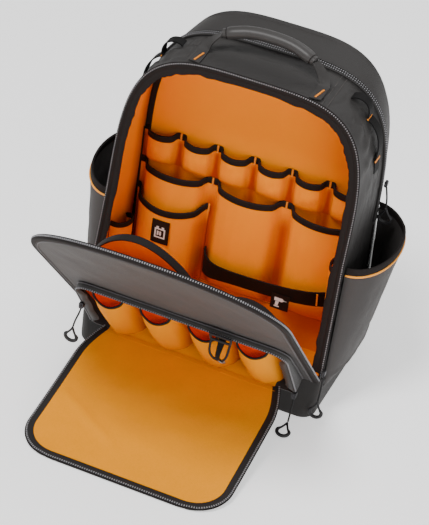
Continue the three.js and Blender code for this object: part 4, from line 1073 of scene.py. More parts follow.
def rim_path(row, place, up, lift, out=0.0, across=40):
    path = []
    for i in range(row["count"] * across + 1):
        x, stand, dip = pleat_stop(row, i / (row["count"] * across))
        path.append((place(x, 0.8 + stand * row["gather"] + out, row["rim"] - row["dip"] * dip + lift),
                     Vector(up)))
    return path


class BACKPACK_OT_wall(BackpackMaker, bpy.types.Operator):
    """Make the orange lining, the back wall and its rows of pockets"""
    bl_idname = "backpack.wall"
    bl_label = "Lining and wall pockets"

    def execute(self, context):
        look = finishes()
        fold = context.scene.backpack_sizes.fold / MM
        start, end = 0.04, WALL_Y - GAP
        inner = -CLOTH - GAP - LINING
        grid = grid_of(160, 16, lambda u, v: skin(u, mix(start, depth_at(u, end), v), inner))
        grid = crumple(grid, fold * 0.7, 32, 11, mask=lambda u, v: -smooth(v * 6) * smooth((1 - v) * 6),
                       creases=0.5)

        # Painted shade: the lining darker on the left side towards the back wall, and darker on both sides of
        # the arch, most near the feet.
        def dark(i, j):
            shade_towards_wall = 0.8 * smooth((0.3 - i / 160) / 0.08) * smooth((j / 16 - 0.55) / 0.45)
            return shade_towards_wall + 0.4 * smooth((0.14 - min(i, 160 - i) / 160) / 0.1)

        shade = [[dark(i, j) for j in range(17)] for i in range(161)]
        lining = cloth("inner_lining", grid, LINING, look["lining"], turned=True,
                       shade=shade)
        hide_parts("lining_shell")
        self.floor(look)
        self.wall(look)
        layers = [("pocket_row_1", 21), ("pocket_row_2", 31), ("pocket_row_3", 41)]
        marks = []
        for name, seed in layers:
            row = ROWS[name]
            base = WALL_Y - GAP - row["layer"]
            place = lambda x, out, z, base=base: Vector((x, base - out, z))
            pocket = pleated(f"{name}_cloth", row, place, look["lining"], seed)
            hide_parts(name)
            tape = sweep(f"{name}_binding_tape", [rim_path(row, place, (0, 0, 1), GAP + 1.2)],
                         tape_profile(3.2, row["tape"], 1.4), look["trim"], angle=60)
            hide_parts(f"row_{name[-1]}_binding")
            for k in range(row["count"] + 1):
                if (name, k) in (("pocket_row_1", 0), ("pocket_row_2", 0), ("pocket_row_3", 0),
                                 ("pocket_row_1", 6)):
                    continue
                x = row["left"] + row["pitch"] * k
                marks.append((place(x, 2.7, row["rim"] - 4.5), place(x, 2.7, row["rim"] + 7.2), (0, -1, 0)))
        tacks("pocket_tacks", marks, look["thread"])
        self.lower_row(look)
        return {"FINISHED"}

    def lower_row(self, look):
        """The top row's cloth where it goes on down into the pockets below."""
        first, second = ROWS["pocket_row_1"], ROWS["pocket_row_2"]
        columns = first["count"] * 24

        def point(u, v):
            x, stand, _ = pleat_stop(first, u, 0)
            room = pleat_stop(second, u, 0.8)[1]
            out = min(stand * mix(0.3, 0.4, v), 0.6 * room)
            return Vector((x, WALL_Y - GAP - 0.9 - out, mix(208, 239, v)))

        sides = seam_distances(first, columns)
        # Painted shade: this cloth is darkened all over, where it lies behind the row below, and most at the
        # seams between pockets.
        shade = [[clamp(0.45 + 0.5 * math.exp(-(side / 0.25) ** 2)) for _ in range(9)] for side in sides]
        cloth("pocket_row_1_lower", grid_of(columns, 8, point), 0.6, look["lining"],
              angle=60, shade=shade)

    def floor(self, look):
        wall = BOOT_WALL + 0.5
        boot = BACKPACK_OT_boot.ring
        back = WALL_Y - GAP

        def ring(z, inset, radius, limit):
            points = boot(z, inset, radius, back + inset)
            for p in points:
                p.y = min(p.y, limit)
            return points

        rings = [ring(BOOT_FLOOR + GAP, BOOT_DRAFT + wall, BOOT_CORNER, back),
                 ring(BOOT_TOP - GAP, wall, BOOT_CORNER_TOP, back)]
        tray = wall + LINING
        for z, radius in ((BOOT_TOP - GAP, BOOT_CORNER_TOP), (40, 11), (20, 16),
                          (BOOT_FLOOR + GAP + LINING, BOOT_CORNER)):
            rings.append(ring(z, tray + BOOT_DRAFT * (1 - z / BOOT_TOP), radius, back - LINING))
        floor = vessel("floor_lining", rings, look["low"], angle=50)
        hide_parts("lining_floor")

    def wall(self, look):
        foot_half = 180 - BOOT_WALL - 10
        foot_z = BOOT_FLOOR + GAP
        y = WALL_Y + WALL_THICK / 2
        arch = [skin(i / 112, depth_at(i / 112, y), -CLOTH - 0.5) for i in range(113)]
        arch = [Vector((p.x, 0, p.z)) for p in arch]
        halves = sorted((p.z, p.x) for p in arch if p.x > 0)

        def half(z):
            if z < BOOT_TOP:
                return foot_half
            return float(np.interp(z, [q[0] for q in halves], [q[1] for q in halves]))

        high = max(p.z for p in arch) - 0.1

        def point(u, v):
            z = mix(foot_z, high, math.sin(v * math.pi / 2) ** 0.9)
            x = (2 * u - 1) * half(z)
            free = smooth(v * 8) * smooth((1 - v) * 8) * smooth((1 - abs(2 * u - 1)) * 8)
            soft = 0.5 * soft_noise((x, z, 3), 45, 17) * free
            return Vector((x, WALL_Y + 0.5 + 0.6 * soft, z))

        wall = cloth("wall_cloth", grid_of(60, 60, point), WALL_THICK - 0.5, look["lining"])
        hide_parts("back_wall")
        edge = []
        for i in range(60):
            z = mix(BOOT_TOP + 8, 400, i / 59)
            edge.append((Vector((-half(z) + 6, WALL_Y - 0.7, z)), Vector((0, -1, 0))))
        # The second strip, down the left ends of the rows of pockets, is a dark tape put where there is only
        # shade: a painted shadow. The first is the wall's bound edge.
        forward = Vector((0, -1, 0))
        side = [(Vector((ROW_LEFT - 3.5, WALL_Y - GAP - mix(5.6, 4.2, k / 30), mix(70, 284, k / 30))),
                 forward)
                for k in range(31)]
        sweep("wall_edge_tape_and_painted_shadow", [edge, side], tape_profile(9, 1.4, 0.6), look["trim"], angle=60)


class BACKPACK_OT_inside(BackpackMaker, bpy.types.Operator):
    """Make the low inner pockets, the tool strap and the two labels"""
    bl_idname = "backpack.inside"
    bl_label = "Inner details"

    def execute(self, context):
        look = finishes()
        self.side_pocket(look, -1, "wall_pocket_left", -58, 4, 172, 150, 18)
        self.side_pocket(look, 1, "wall_pocket_right", -62, -6, 214, 206, 20)
        self.strap(look)
        self.labels(look)
        return {"FINISHED"}

    def side_pocket(self, look, sign, name, front, back, front_rim, back_rim, bulge):
        low = BOOT_TOP + 2 * GAP
        wall_x = lambda y, z: side_x(y, z) - CLOTH - 2 * GAP - LINING

        def point(u, v, extra=0.0, above=0.0):
            half = (back - front) / 2
            y = front + half - half * math.cos(math.pi * u)
            z = mix(low, mix(front_rim, back_rim, u), v) + above
            out = bulge * math.sin(math.pi * u) * closing(v, 0.5, 0.1) + 1.6 + extra
            wave = 1.1 * soft_noise((y, z, 0), 16, 51) * math.sin(math.pi * u)
            out += wave * smooth(v * 5) * smooth((1 - v) * 6)
            return Vector((sign * (wall_x(y, z) - out), y, z))

        pocket = cloth(f"{name}_cloth", grid_of(40, 30, point), 1.4, look["lining"],
                       turned=sign > 0)
        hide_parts(name)
        rim = [(point(i / 40, 1, -0.8, -1.5), Vector((0, 0, 1))) for i in range(41)]
        sweep(f"{name}_rim_tape", [rim], tape_profile(2.8, 8, 1.1), look["trim"], angle=60)

    def strap(self, look):
        seam = ROW_LEFT + 2 * ROW_PITCH + 3
        run = side_x(WALL_Y, 106) - CLOTH - 2 * GAP - LINING - WEB_THICK - seam
        table = [(0, 0.13, 0), (0.013, 0.33, 0), (0.04, 0.51, 0), (0.085, 0.71, 0.04), (0.15, 0.87, 0.16),
                 (0.239, 0.94, 0.24), (0.373, 0.986, 0.32), (0.533, 1, 0.4), (0.685, 0.986, 0.52),
                 (0.797, 0.918, 0.64), (0.886, 0.782, 0.8), (0.953, 0.532, 0.96), (1, 0.236, 1)]
        stops = [Vector((seam + a * run, WALL_Y - o * 44, 106 + r * 25)) for a, o, r in table]
        grid = strap_grid(stops, 8, 32, WEB_THICK, lambda u: (0, -0.35 * math.sin(math.pi * u), 1), 10,
                          lambda u: mix(1.2, 0.86, smooth((u - 0.1) / 0.35)))
        strap = cloth("tool_strap_web", grid, WEB_THICK - 0.2, look["webbing"], angle=60)
        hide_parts("tool_strap")
        low, high = (Vector(grid[74, k]) + Vector((0, -0.6, 0)) for k in (1, 9))
        tacks("tool_strap_tack", [(low, high, (0, -1, 0))],
              look["thread"], width=0.002)

    def labels(self, look):
        front = WALL_Y - GAP - 2 * 1.9 - 1.6 - 37
        self.tab(look, "battery_label", -125, 130, 38, front - LINING - GAP, self.battery)
        self.tab(look, "drill_label", 66, 90, 25, WALL_Y - 44 - WEB_THICK - 2 * GAP, self.driver)

    def tab(self, look, name, left, low, high, y, drawing):
        """A small dark label with pale simple shapes on it."""
        width = 27
        bend = lambda u, v: 0.5 * (2 * u - 1) ** 2 + 0.3 * (2 * v - 1) ** 2
        grid = grid_of(12, 16,
                       lambda u, v: Vector((left + u * width, y + bend(u, v), mix(low, low + high, v))))
        label = cloth(f"{name}_tab", grid, 0.6, look["label"])
        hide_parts(name)
        points, faces = [], []
        for corners in drawing():
            faces.append(tuple(range(len(points), len(points) + len(corners))))
            points += [Vector((left + width * a, y - 0.12, low + high * b)) for a, b in corners]
        marks = finish_mesh(f"{name}_marks", points, faces, [(p.x, p.z) for p in points], look["mark"],
                            closed_body=False)
        for polygon in marks.data.polygons:
            if polygon.normal.y > 0:
                polygon.flip()

    @staticmethod
    def battery():
        """A block with two posts and a level bar in it."""
        box = lambda a, b, c, d: [(a, b), (c, b), (c, d), (a, d)]
        return [box(0.2, 0.24, 0.8, 0.3), box(0.2, 0.6, 0.8, 0.66), box(0.2, 0.3, 0.28, 0.6),
                box(0.72, 0.3, 0.8, 0.6),
                box(0.28, 0.66, 0.42, 0.74), box(0.58, 0.66, 0.72, 0.74), box(0.34, 0.36, 0.44, 0.54),
                box(0.48, 0.36, 0.58, 0.54)]

    @staticmethod
    def driver():
        """A body, a grip and a bit, all plain bars."""
        return [[(0.2, 0.56), (0.66, 0.56), (0.66, 0.78), (0.2, 0.78)],
                [(0.66, 0.62), (0.74, 0.64), (0.74, 0.7), (0.66, 0.72)],
                [(0.74, 0.655), (0.88, 0.655), (0.88, 0.685), (0.74, 0.685)],
                [(0.26, 0.26), (0.42, 0.26), (0.46, 0.54), (0.28, 0.54)],
                [(0.22, 0.16), (0.5, 0.16), (0.5, 0.24), (0.22, 0.24)]]


def arch_halves(shape, inset, foot):
    """Half width of an arch, drawn in by inset, as a table over its height."""
    spots = sorted((p[1], abs(p[0]))
                   for p in (arch_lifted(shape, 0.5 * i / 500, -inset, foot)[:2] for i in range(501)))
    return [p[0] for p in spots], [p[1] for p in spots]


def panel_grid(inset, out, across, along, relief=None):
    """Regular grid over the opened panel inside its rim."""
    heights, halves = arch_halves(DOOR, inset, 0.5)
    top = heights[-1]

    def point(u, v):
        up = mix(0.5, top, math.sin(v * math.pi / 2) ** 0.85)
        x = (2 * u - 1) * max(float(np.interp(up, heights, halves)), 0.5)
        free = smooth(v * 9) * smooth((1 - v) * 9) * smooth((1 - abs(2 * u - 1)) * 9)
        return on_door(x, out + (relief(x, up) * free if relief else 0), up)

    return grid_of(across, along, point)


def door_path(lift, out, steps=240, foot=0.5):
    path = []
    for i in range(steps + 1):
        x, up, away = arch_lifted(DOOR, i / steps, lift, foot)
        path.append((on_door(x, out, up), DOOR_TURN @ Vector((away.x, 0, away.y))))
    return path


class BACKPACK_OT_panel(BackpackMaker, bpy.types.Operator):
    """Make the opened front panel with its bound rim and inner pockets"""
    bl_idname = "backpack.panel"
    bl_label = "Front panel"

    def execute(self, context):
        look = finishes()
        middle = (DOOR_FRONT + 0.5 - DOOR_RIM_BACK) / 2
        path = [(p, DOOR_OUT) for p, _ in door_path(-DOOR_RIM_WIDTH / 2, middle)]
        rim = sweep("panel_rim_band", [path],
                    tape_profile(DOOR_RIM_WIDTH, DOOR_FRONT + 0.5 + DOOR_RIM_BACK, 2.4, 4),
                    look["trim"], angle=60)
        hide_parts("door_rim")
        zip_teeth("panel_zip_teeth", [even(door_path(0.3, middle - 0.6), 4)], look["teeth"], 0.0022, 0.0014)
        inset = DOOR_RIM_WIDTH + GAP

        def soft(x, up):
            low = 1.0 * soft_noise((x, up, 0), 70, 61) + 0.4 * soft_noise((x, up, 4), 24, 62)
            free = smooth((up - 165) / 50)
            slack = 2.4 * soft_noise((x * 0.6, up, 8), 58, 64)
            slack += 1.3 * soft_noise((x + up * 0.5, up * 0.4, 2), 24, 65)
            return low + free * slack * mix(0.55, 1.25, smooth((x + 60) / 150))

        panel = cloth("panel_cloth", panel_grid(inset, DOOR_FRONT, 90, 90, lambda x, up: soft(x, up) - 0.7),
                      DOOR_CLOTH - 1.2, look["panel"])
        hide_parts("door_panel")
        face = DOOR_FRONT - DOOR_CLOTH - GAP - LINING
        slack = lambda x, up: 0.5 * soft_noise((x, up, 0), 40, 63)
        lining = cloth("panel_lining", panel_grid(inset, face, 70, 70, slack), LINING * 0.7, look["lining"],
                       turned=True)
        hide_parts("door_lining")
        edge = [even([(p, DOOR_OUT) for p, _ in door_path(-DOOR_RIM_WIDTH + 1.6, DOOR_FRONT + 0.6)], 3)]
        stitches("panel_stitches", edge, look["dark_thread"])
        piping = [(p, DOOR_OUT) for p, _ in door_path(-DOOR_RIM_WIDTH - 0.4, DOOR_FRONT + 0.3)]
        sweep("panel_piping", [piping], round_profile(0.9, 8), look["grey_piping"])
        self.pocket(look, "door_pocket_left", -20, 76, 190, 292, 364, 30, 12)
        self.pocket(look, "door_pocket_right", 108, 50, 120, 232, 246, 24, 9)
        return {"FINISHED"}

    def pocket(self, look, name, middle, half, low, rim_end, rim_middle, stand, band):
        base = -(DOOR_FRONT - DOOR_CLOTH - GAP - LINING) + GAP

        def point(u, v, extra=0.0, above=0.0):
            across = 2 * u - 1
            up = mix(low, mix(rim_middle, rim_end, across ** 2), v) + above
            out = stand * max(math.cos(across * math.pi / 2), 0) ** 0.6 * mix(0.05, 1, v ** 1.3)
            free = smooth((1 - abs(across)) * 4) * smooth(v * 4) * smooth((1 - v) * 5)
            out += 1.4 * soft_noise((across * half, up, 0), 24, 71) * free
            return on_door(middle + across * half, -(base + out + 1.6 + extra), up)

        cloth_piece = cloth(f"{name}_cloth", grid_of(60, 30, point), 1.4, look["lining"],
                            turned=True)
        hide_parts(name)
        lean = (DOOR_OUT * 0.85 + DOOR_UP * 0.5).normalized()
        rim = []
        for i in range(61):
            reach = min(1, 6 * min(i, 60 - i) / 60)
            rim.append((point(i / 60, 1, -0.8, 0.6) + lean * (band / 2 - 2) * reach, lean))
        sweep(f"{name}_rim_tape", [rim], tape_profile(2.2, band, 1), look["trim"], angle=60,
              scale=lambda t: 0.35 + 0.65 * smooth(6 * min(t, 1 - t)))


def gusset_outline(inset, corner_steps=9, fill=12):
    """Closed rounded outline of the panel's pocket, from the lower right corner round, evenly filled."""
    left, right = POCKET_LEFT + inset, POCKET_RIGHT - inset
    low, high = POCKET_LOW + inset, POCKET_HIGH - inset
    corners = [(right, low, POCKET_FOOT_CORNER - inset, 270), (right, high, POCKET_CORNER - inset, 0),
               (left, high, POCKET_CORNER - inset, 90), (left, low, POCKET_FOOT_CORNER - inset, 180)]
    dense = []
    for x, y, radius, start in corners:
        radius = max(radius, 0.5)
        cx = x - radius if x == right else x + radius
        cy = y - radius if y == high else y + radius
        for k in range(corner_steps):
            a = math.radians(start + 90 * k / (corner_steps - 1))
            dense.append((cx + radius * math.cos(a), cy + radius * math.sin(a)))
    points = []
    for k, (a, b) in enumerate(zip(dense, dense[1:] + dense[:1])):
        parts = max(1, round(math.dist(a, b) / fill))
        points += [(mix(a[0], b[0], s / parts), mix(a[1], b[1], s / parts)) for s in range(parts)]
    return points


def gusset_depth(up):
    return mix(POCKET_DEEP, POCKET_SHALLOW, up / POCKET_HIGH)


def pocket_floor(out, up):
    return POCKET_SLANT * (out - DOOR_FRONT) * clamp(1 - up / 30)


class BACKPACK_OT_front_pocket(BackpackMaker, bpy.types.Operator):
    """Make the zipped pocket on the front panel, its pouches and the key clip"""
    bl_idname = "backpack.front_pocket"
    bl_label = "Front pocket"

    def execute(self, context):
        look = finishes()
        outline = gusset_outline(0)
        inner = gusset_outline(2.2 + 0.5)
        count = len(outline)

        def wall(u, v):
            x, y = outline[round(u * count) % count]
            out = mix(DOOR_FRONT + GAP, gusset_depth(y), v)
            away = self.away(outline, round(u * count) % count)
            puff = 1.4 * math.sin(math.pi * v) * smooth(y / 20)
            return on_door(x + away.x * puff, out, y + pocket_floor(out, y) + away.y * puff)

        grid = np.array([[wall(i / count, j / 8) for j in range(9)] for i in range(count)], float)
        ring = cloth("pocket_gusset", grid, 2.0, look["outer"], closed=True)
        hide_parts("front_gusset")
        mouth = []
        for k in range(count):
            x, y = outline[k]
            if y < 14:
                continue
            away = self.away(outline, k)
            out = gusset_depth(y)
            mouth.append((on_door(x - away.x * 0.9, out + 0.6, y - away.y * 0.9 + pocket_floor(out, y)),
                          DOOR_TURN @ Vector((away.x, 0, away.y))))
        sweep("gusset_zip_tape", [mouth], tape_profile(1.6, 3.4, 0.6), look["tape"], angle=60)
        teeth = [(p + u * 1.9, u) for p, u in mouth]
        zip_teeth("gusset_zip_teeth", [even(teeth, 3)], look["teeth"])
        welt = []
        for k in list(range(count)) + [0]:
            x, y = outline[k]
            away = self.away(outline, k)
            welt.append((on_door(x + away.x * 0.7, DOOR_FRONT + 1.2, y + away.y * 0.7), DOOR_OUT))
        sweep("gusset_piping", [welt], round_profile(1.1, 8), look["grey_piping"])
        for side, edge in ((-1, POCKET_LEFT), (1, POCKET_RIGHT)):
            def turned_in(u, w, side=side, edge=edge):
                y = mix(16, POCKET_HIGH - 16, u)
                wide = (10.5 + 3 * soft_noise((y, 0, 0), 14, 87 + side)) * smooth(u * 8)
                wide = wide * smooth((1 - u) * 8) + 1.5
                out = gusset_depth(y) + 0.3 + 1.6 * math.sin(math.pi * w) - 2 * w
                return on_door(edge - side * (1 + wide * w), out, y + pocket_floor(gusset_depth(y), y))
            name = "left" if side < 0 else "right"
            cloth(f"gusset_lip_{name}", grid_of(50, 8, turned_in), 0.9, look["outer"],
                  turned=side > 0)
        heart = Vector((0, POCKET_HIGH / 2))
        level = DOOR_FRONT + GAP + LINING
        rings = []
        for share in (0.08, 0.4, 0.7, 0.9, 1):
            rings.append([on_door(x * share, level, mix(heart.y, y, share)) for x, y in inner])
        for share in (1, 0.5, 0.08):
            rings.append([on_door(x * share, level - LINING, mix(heart.y, y, share)) for x, y in inner])
        back = vessel("pocket_back_cloth", rings, look["red"])
        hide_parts("front_pocket_back")
        place = lambda x, out, up: on_door(x, POUCH_BASE + out, up)
        self.mouths(look, place)
        self.pocket_floor(look)
        pouches = pleated("pouch_cloth", POUCHES, place, look["pouch"], 81, droop=1.3)
        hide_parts("pouch_row")
        tape = sweep("pouch_binding_tape", [rim_path(POUCHES, place, DOOR_UP, GAP + 1.6)],
                     tape_profile(2.8, 5, 1.1),
                     look["trim"], angle=60)
        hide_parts("pouch_binding")
        marks = []
        for k in range(1, POUCHES["count"]):
            x = POUCHES["left"] + POUCHES["pitch"] * k
            marks.append((place(x, 2.4, POUCHES["rim"] - 7), place(x, 2.4, POUCHES["rim"] + 5), DOOR_OUT))
        tacks("pouch_tacks", marks, look["thread"], width=0.0022)
        self.clip(look)
        return {"FINISHED"}

    def mouths(self, look, place):
        """The red lining that shows in each pouch's mouth."""
        def point(u, w):
            x, stand, front = pleat_stop(POUCHES, u, 1)
            reach = max(stand * POUCHES["gather"] - 0.3, 0.3)
            sag = (9 * math.sin(math.pi * w) + 2 * soft_noise((x, w * 20, 0), 8, 85)) * front + 6.5 - 2 * w
            return place(x, 0.6 + reach * w, POUCHES["rim"] - POUCHES["dip"] * front * w ** 2 - sag)

        cloth("pouch_red_lining", grid_of(4 * 32, 10, point), 0.8, look["red"], turned=True)

    def pocket_floor(self, look):
        """Bright lining from below the pouches over the pocket's edge to the flap."""
        def point(u, w):
            x = mix(-124, 126, u)
            if w < 0.7:
                out = mix(POUCH_BASE, POCKET_DEEP, w / 0.7)
                return on_door(x, out, 5.4 + pocket_floor(out, 4.5) + 0.6 * soft_noise((x, out, 0), 18, 86))
            edge = on_door(x, POCKET_DEEP, 5.4 + pocket_floor(POCKET_DEEP, 4.5))
            to = flap_point((x + FLAP_HINGE_HALF) / (2 * FLAP_HINGE_HALF), 0.035, GAP + LINING + 0.3)
            w = (w - 0.7) / 0.3
            return edge.lerp(to, w) + DOOR_OUT * (1.2 * math.sin(math.pi * w))

        cloth("pocket_floor_lining", grid_of(70, 12, point), 0.8, look["flap"], turned=True)

    @staticmethod
    def away(outline, k):
        a, b = outline[k - 1], outline[(k + 1) % len(outline)]
        along = Vector((b[0] - a[0], b[1] - a[1])).normalized()
        return Vector((along.y, -along.x))

    def clip(self, look):
        x = POUCHES["left"] + POUCHES["pitch"] * 2.93
        under = POCKET_HIGH - 2.2 - 0.5
        proud = POUCH_BASE + 1.6 + POUCHES["bulge"] + 3
        end = 147 - 26
        stops = [on_door(x, POUCH_BASE + 4, under - 1), on_door(x, POUCH_BASE + 14, under - 3),
                 on_door(x, proud, 147 - 8), on_door(x, proud, end)]
        grid = strap_grid(stops, 8, 12, WEB_THICK, lambda u: (1, 0, 0),
                          taper=lambda u: mix(1, 0.5, smooth(u * 1.4)))
        strap = cloth("key_strap_web", grid, WEB_THICK - 0.2,
                      look["webbing"], angle=60)
        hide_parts("key_strap")
        centre = Vector((x, proud, end - 7 - 1.3 - GAP))
        ring = []
        for k in range(41):
            a = 2 * math.pi * k / 40
            ring.append((on_door(centre.x + 5.2 * math.cos(a), centre.y, centre.z + 7 * math.sin(a)),
                         DOOR_OUT))
        clip = sweep("key_clip_wire", [ring], round_profile(1.3, 10), look["metal"])
        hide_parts("key_clip")
        top = gusset_depth(POCKET_HIGH) + 3.4
        corners = [(-15, 10), (15, 10), (14, 0), (-14, 0)]
        frame_stops = [on_door(x + a, top + (4 if b < 5 else 0), POCKET_HIGH + b) for a, b in corners]
        frame_ring = []
        for a, b in zip(frame_stops, frame_stops[1:] + frame_stops[:1]):
            frame_ring += [(a.lerp(b, k / 6), DOOR_OUT) for k in range(6)]
        sweep("key_frame", [frame_ring], round_profile(1.9, 8), look["rubber"], ring=True)
        strands = []
        for side in (-1, 1):
            turn = [on_door(x + side * 13.5, top + 4, POCKET_HIGH), on_door(x + side * 12, proud - 3, 142),
                    on_door(x + side * 7.5, proud + 1.5, 133), on_door(x + side * 2.5, proud + 1.5, 124)]
            strands.append([(p, DOOR_OUT) for p in through(turn, 8)])
        sweep("key_strands", strands, round_profile(1.7, 8), look["cord"])


FLAP_FOOT = POCKET_LOW + 2.2
FLAP_ROOT = on_door(0, POCKET_DEEP,
                    FLAP_FOOT + POCKET_SLANT * (POCKET_DEEP - DOOR_FRONT) * (1 - FLAP_FOOT / 30))


def flap_point(u, v, lift, length=FLAP_LENGTH, half=FLAP_HALF, hinge=FLAP_HINGE_HALF, corner=FLAP_CORNER,
               start=0.0):
    slope = math.atan2(FLAP_ROOT.z - FLAP_TIP_Z, FLAP_LENGTH)
    l = mix(start, length, v)
    widening = mix(hinge, half, math.sin(clamp(l / 60) * math.pi / 2))
    past = max(0, l - (length - corner))
    width = widening - corner + math.sqrt(max(corner ** 2 - past ** 2, 0))
    z = mix(FLAP_TIP_Z, FLAP_ROOT.z, (1 - clamp(l / FLAP_LENGTH)) ** FLAP_DROOP)
    return Vector(((2 * u - 1) * width, FLAP_ROOT.y - 0.5 - l * math.cos(slope), z + lift))


def flap_relief(x, y, edge):
    """Soft folds of the laid flap, none at its edge."""
    low = 1.5 * soft_noise((x, y, 0), 60, 91) + 0.8 * soft_noise((x, y, 5), 26, 92)
    ridge = math.exp(-((x * 0.55 + y + 330) / 9) ** 2) * smooth(-x / 60) * 1.6
    return (max(low, -0.2) + ridge) * edge


class BACKPACK_OT_flap(BackpackMaker, bpy.types.Operator):
    """Make the flap that lies forward on the ground"""
    bl_idname = "backpack.flap"
    bl_label = "Flap"

    def execute(self, context):
        look = finishes()

        def upper(u, v):
            v = 1 - (1 - v) ** 1.6
            p = flap_point(u, v, 0)
            edge = smooth((1 - abs(2 * u - 1)) * 9) * smooth((1 - v) * 9)
            press = 0.2 * edge - 0.9 * (1 - smooth((1 - abs(2 * u - 1)) * 30))
            p.z += press - 0.9 * (1 - smooth((1 - v) * 30))
            p.z = max(p.z, 2.1)
            return p

        outer = cloth("flap_cloth", grid_of(70, 70, upper), 1.9, look["outer"], turned=True)
        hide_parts("flap_outer")
        inner = dict(length=FLAP_LENGTH - FLAP_RIM, half=FLAP_HALF - FLAP_RIM,
                     hinge=FLAP_HINGE_HALF - FLAP_RIM,
                     corner=FLAP_CORNER - FLAP_RIM, start=2.0)

        def face(u, v):
            v = 1 - (1 - v) ** 1.6
            p = flap_point(u, v, GAP + LINING, **inner)
            edge = smooth((1 - abs(2 * u - 1)) * 8) * smooth((1 - v) * 8) * smooth(v * 6)
            p.z += flap_relief(p.x, p.y, edge)
            return p

        lining = cloth("flap_face", grid_of(90, 90, face), 0.9, look["flap"], turned=True)
        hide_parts("flap_lining")
        rims = []
        for side in (0, 1):
            rims.append([flap_point(side, k / 60, 0.3) for k in range(61)])
        loop = rims[0] + rims[1][::-1]
        edge = even([(p, Vector((0, 0, 1))) for p in loop], 3)
        sweep("flap_piping", [[(p + Vector((0, 0, -0.9)), u) for p, u in edge]], round_profile(1.0, 8),
              look["trim"])
        band = []
        for side in (0, 1):
            band.append([flap_point(side, k / 60, 0.7, *(full - 7 for full in FLAP_SHAPE))
                         for k in range(61)])
        loop = even([(p, Vector((0, 0, 1))) for p in band[0] + band[1][::-1]], 3)
        sweep("flap_zip_tape", [loop], tape_profile(8, 1.2, 0.5), look["tape"], angle=60)
        teeth = even([(p + Vector((0, 0, 0.7)), u) for p, u in self.offset(loop, 5.5)], 3)
        zip_teeth("flap_zip_teeth", [teeth], look["teeth"])
        return {"FINISHED"}

    @staticmethod
    def offset(path, reach):
        """The path moved sideways, away from its middle."""
        moved = []
        for i, (p, up) in enumerate(path):
            a, b = path[max(i - 1, 0)][0], path[min(i + 1, len(path) - 1)][0]
            side = (b - a).normalized().cross(up).normalized()
            if side.dot(p - Vector((0, -240, p.z))) < 0:
                side = -side
            moved.append((p + side * reach, up))
        return moved


class BACKPACK_OT_side_pockets(BackpackMaker, bpy.types.Operator):
    """Make the two outer side pockets with their bound rims and piping"""
    bl_idname = "backpack.side_pockets"
    bl_label = "Side pockets"

    def execute(self, context):
        look = finishes()
        for sign, name in ((-1, "side_pocket_left"), (1, "side_pocket_right")):
            self.make(look, sign, name)
        return {"FINISHED"}

    def make(self, look, sign, name):
        foot_share = 1 / 6
        rim_z = lambda u: mix(SIDE_POCKET["rim_front"], SIDE_POCKET["rim_back"],
                              (1 - math.cos(math.pi * u)) / 2)

        def place(u, z, v, proud=0.0):
            front = front_y(z) + SIDE_POCKET["margin"]
            half = (SIDE_POCKET["back"] - front) / 2
            y = front + half - half * math.cos(math.pi * u)
            seat = (180 if v <= foot_share else side_x(y, z)) + 0.5
            out = SIDE_POCKET["bulge"] * math.sin(math.pi * u) * mix(SIDE_POCKET["foot_out"], 1, v ** 0.7)
            return Vector((sign * (seat + out + SIDE_POCKET["cloth"] + proud), y, z))

        def height(u, v):
            if v <= foot_share:
                return mix(SIDE_POCKET["foot"], BOOT_TOP + 2 * GAP, v / foot_share)
            return mix(BOOT_TOP + 2 * GAP, rim_z(u), (v - foot_share) / (1 - foot_share))

        def point(u, v):
            p = place(u, height(u, v), v)
            free = math.sin(math.pi * u) * smooth(v * 4) * smooth((1 - v) * 6)
            p.x += sign * free * (1.6 * soft_noise(p, 38, 101) + 0.9 * soft_noise(p, 15, 102) - 0.5)
            return p

        # Painted light: the side pockets wear the lighter panel cloth, though their cloth is the outer cloth,
        # for the light that falls on them from the front right.
        body = cloth(f"{name}_cloth", grid_of(70, 48, point), SIDE_POCKET["cloth"], look["panel"],
                     turned=sign < 0)
        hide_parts(name)
        band_high = SIDE_POCKET["band"]

        def band(u, v):
            swell = 0.5 + 0.9 * math.sin(math.pi * v)
            return place(u, rim_z(u) + GAP + v * band_high, 1, swell - 0.5)

        rim = cloth(f"{name}_rim", grid_of(70, 8, band), SIDE_POCKET["cloth"] + 0.4, look["trim"],
                    turned=sign < 0)
        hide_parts(f"{name}_binding")
        line = [(place(i / 70, rim_z(i / 70) - 0.6, 1, 0.5), Vector((0, 0, 1))) for i in range(71)]
        sweep(f"{name}_piping", [line], round_profile(1.5, 8), look["piping"])


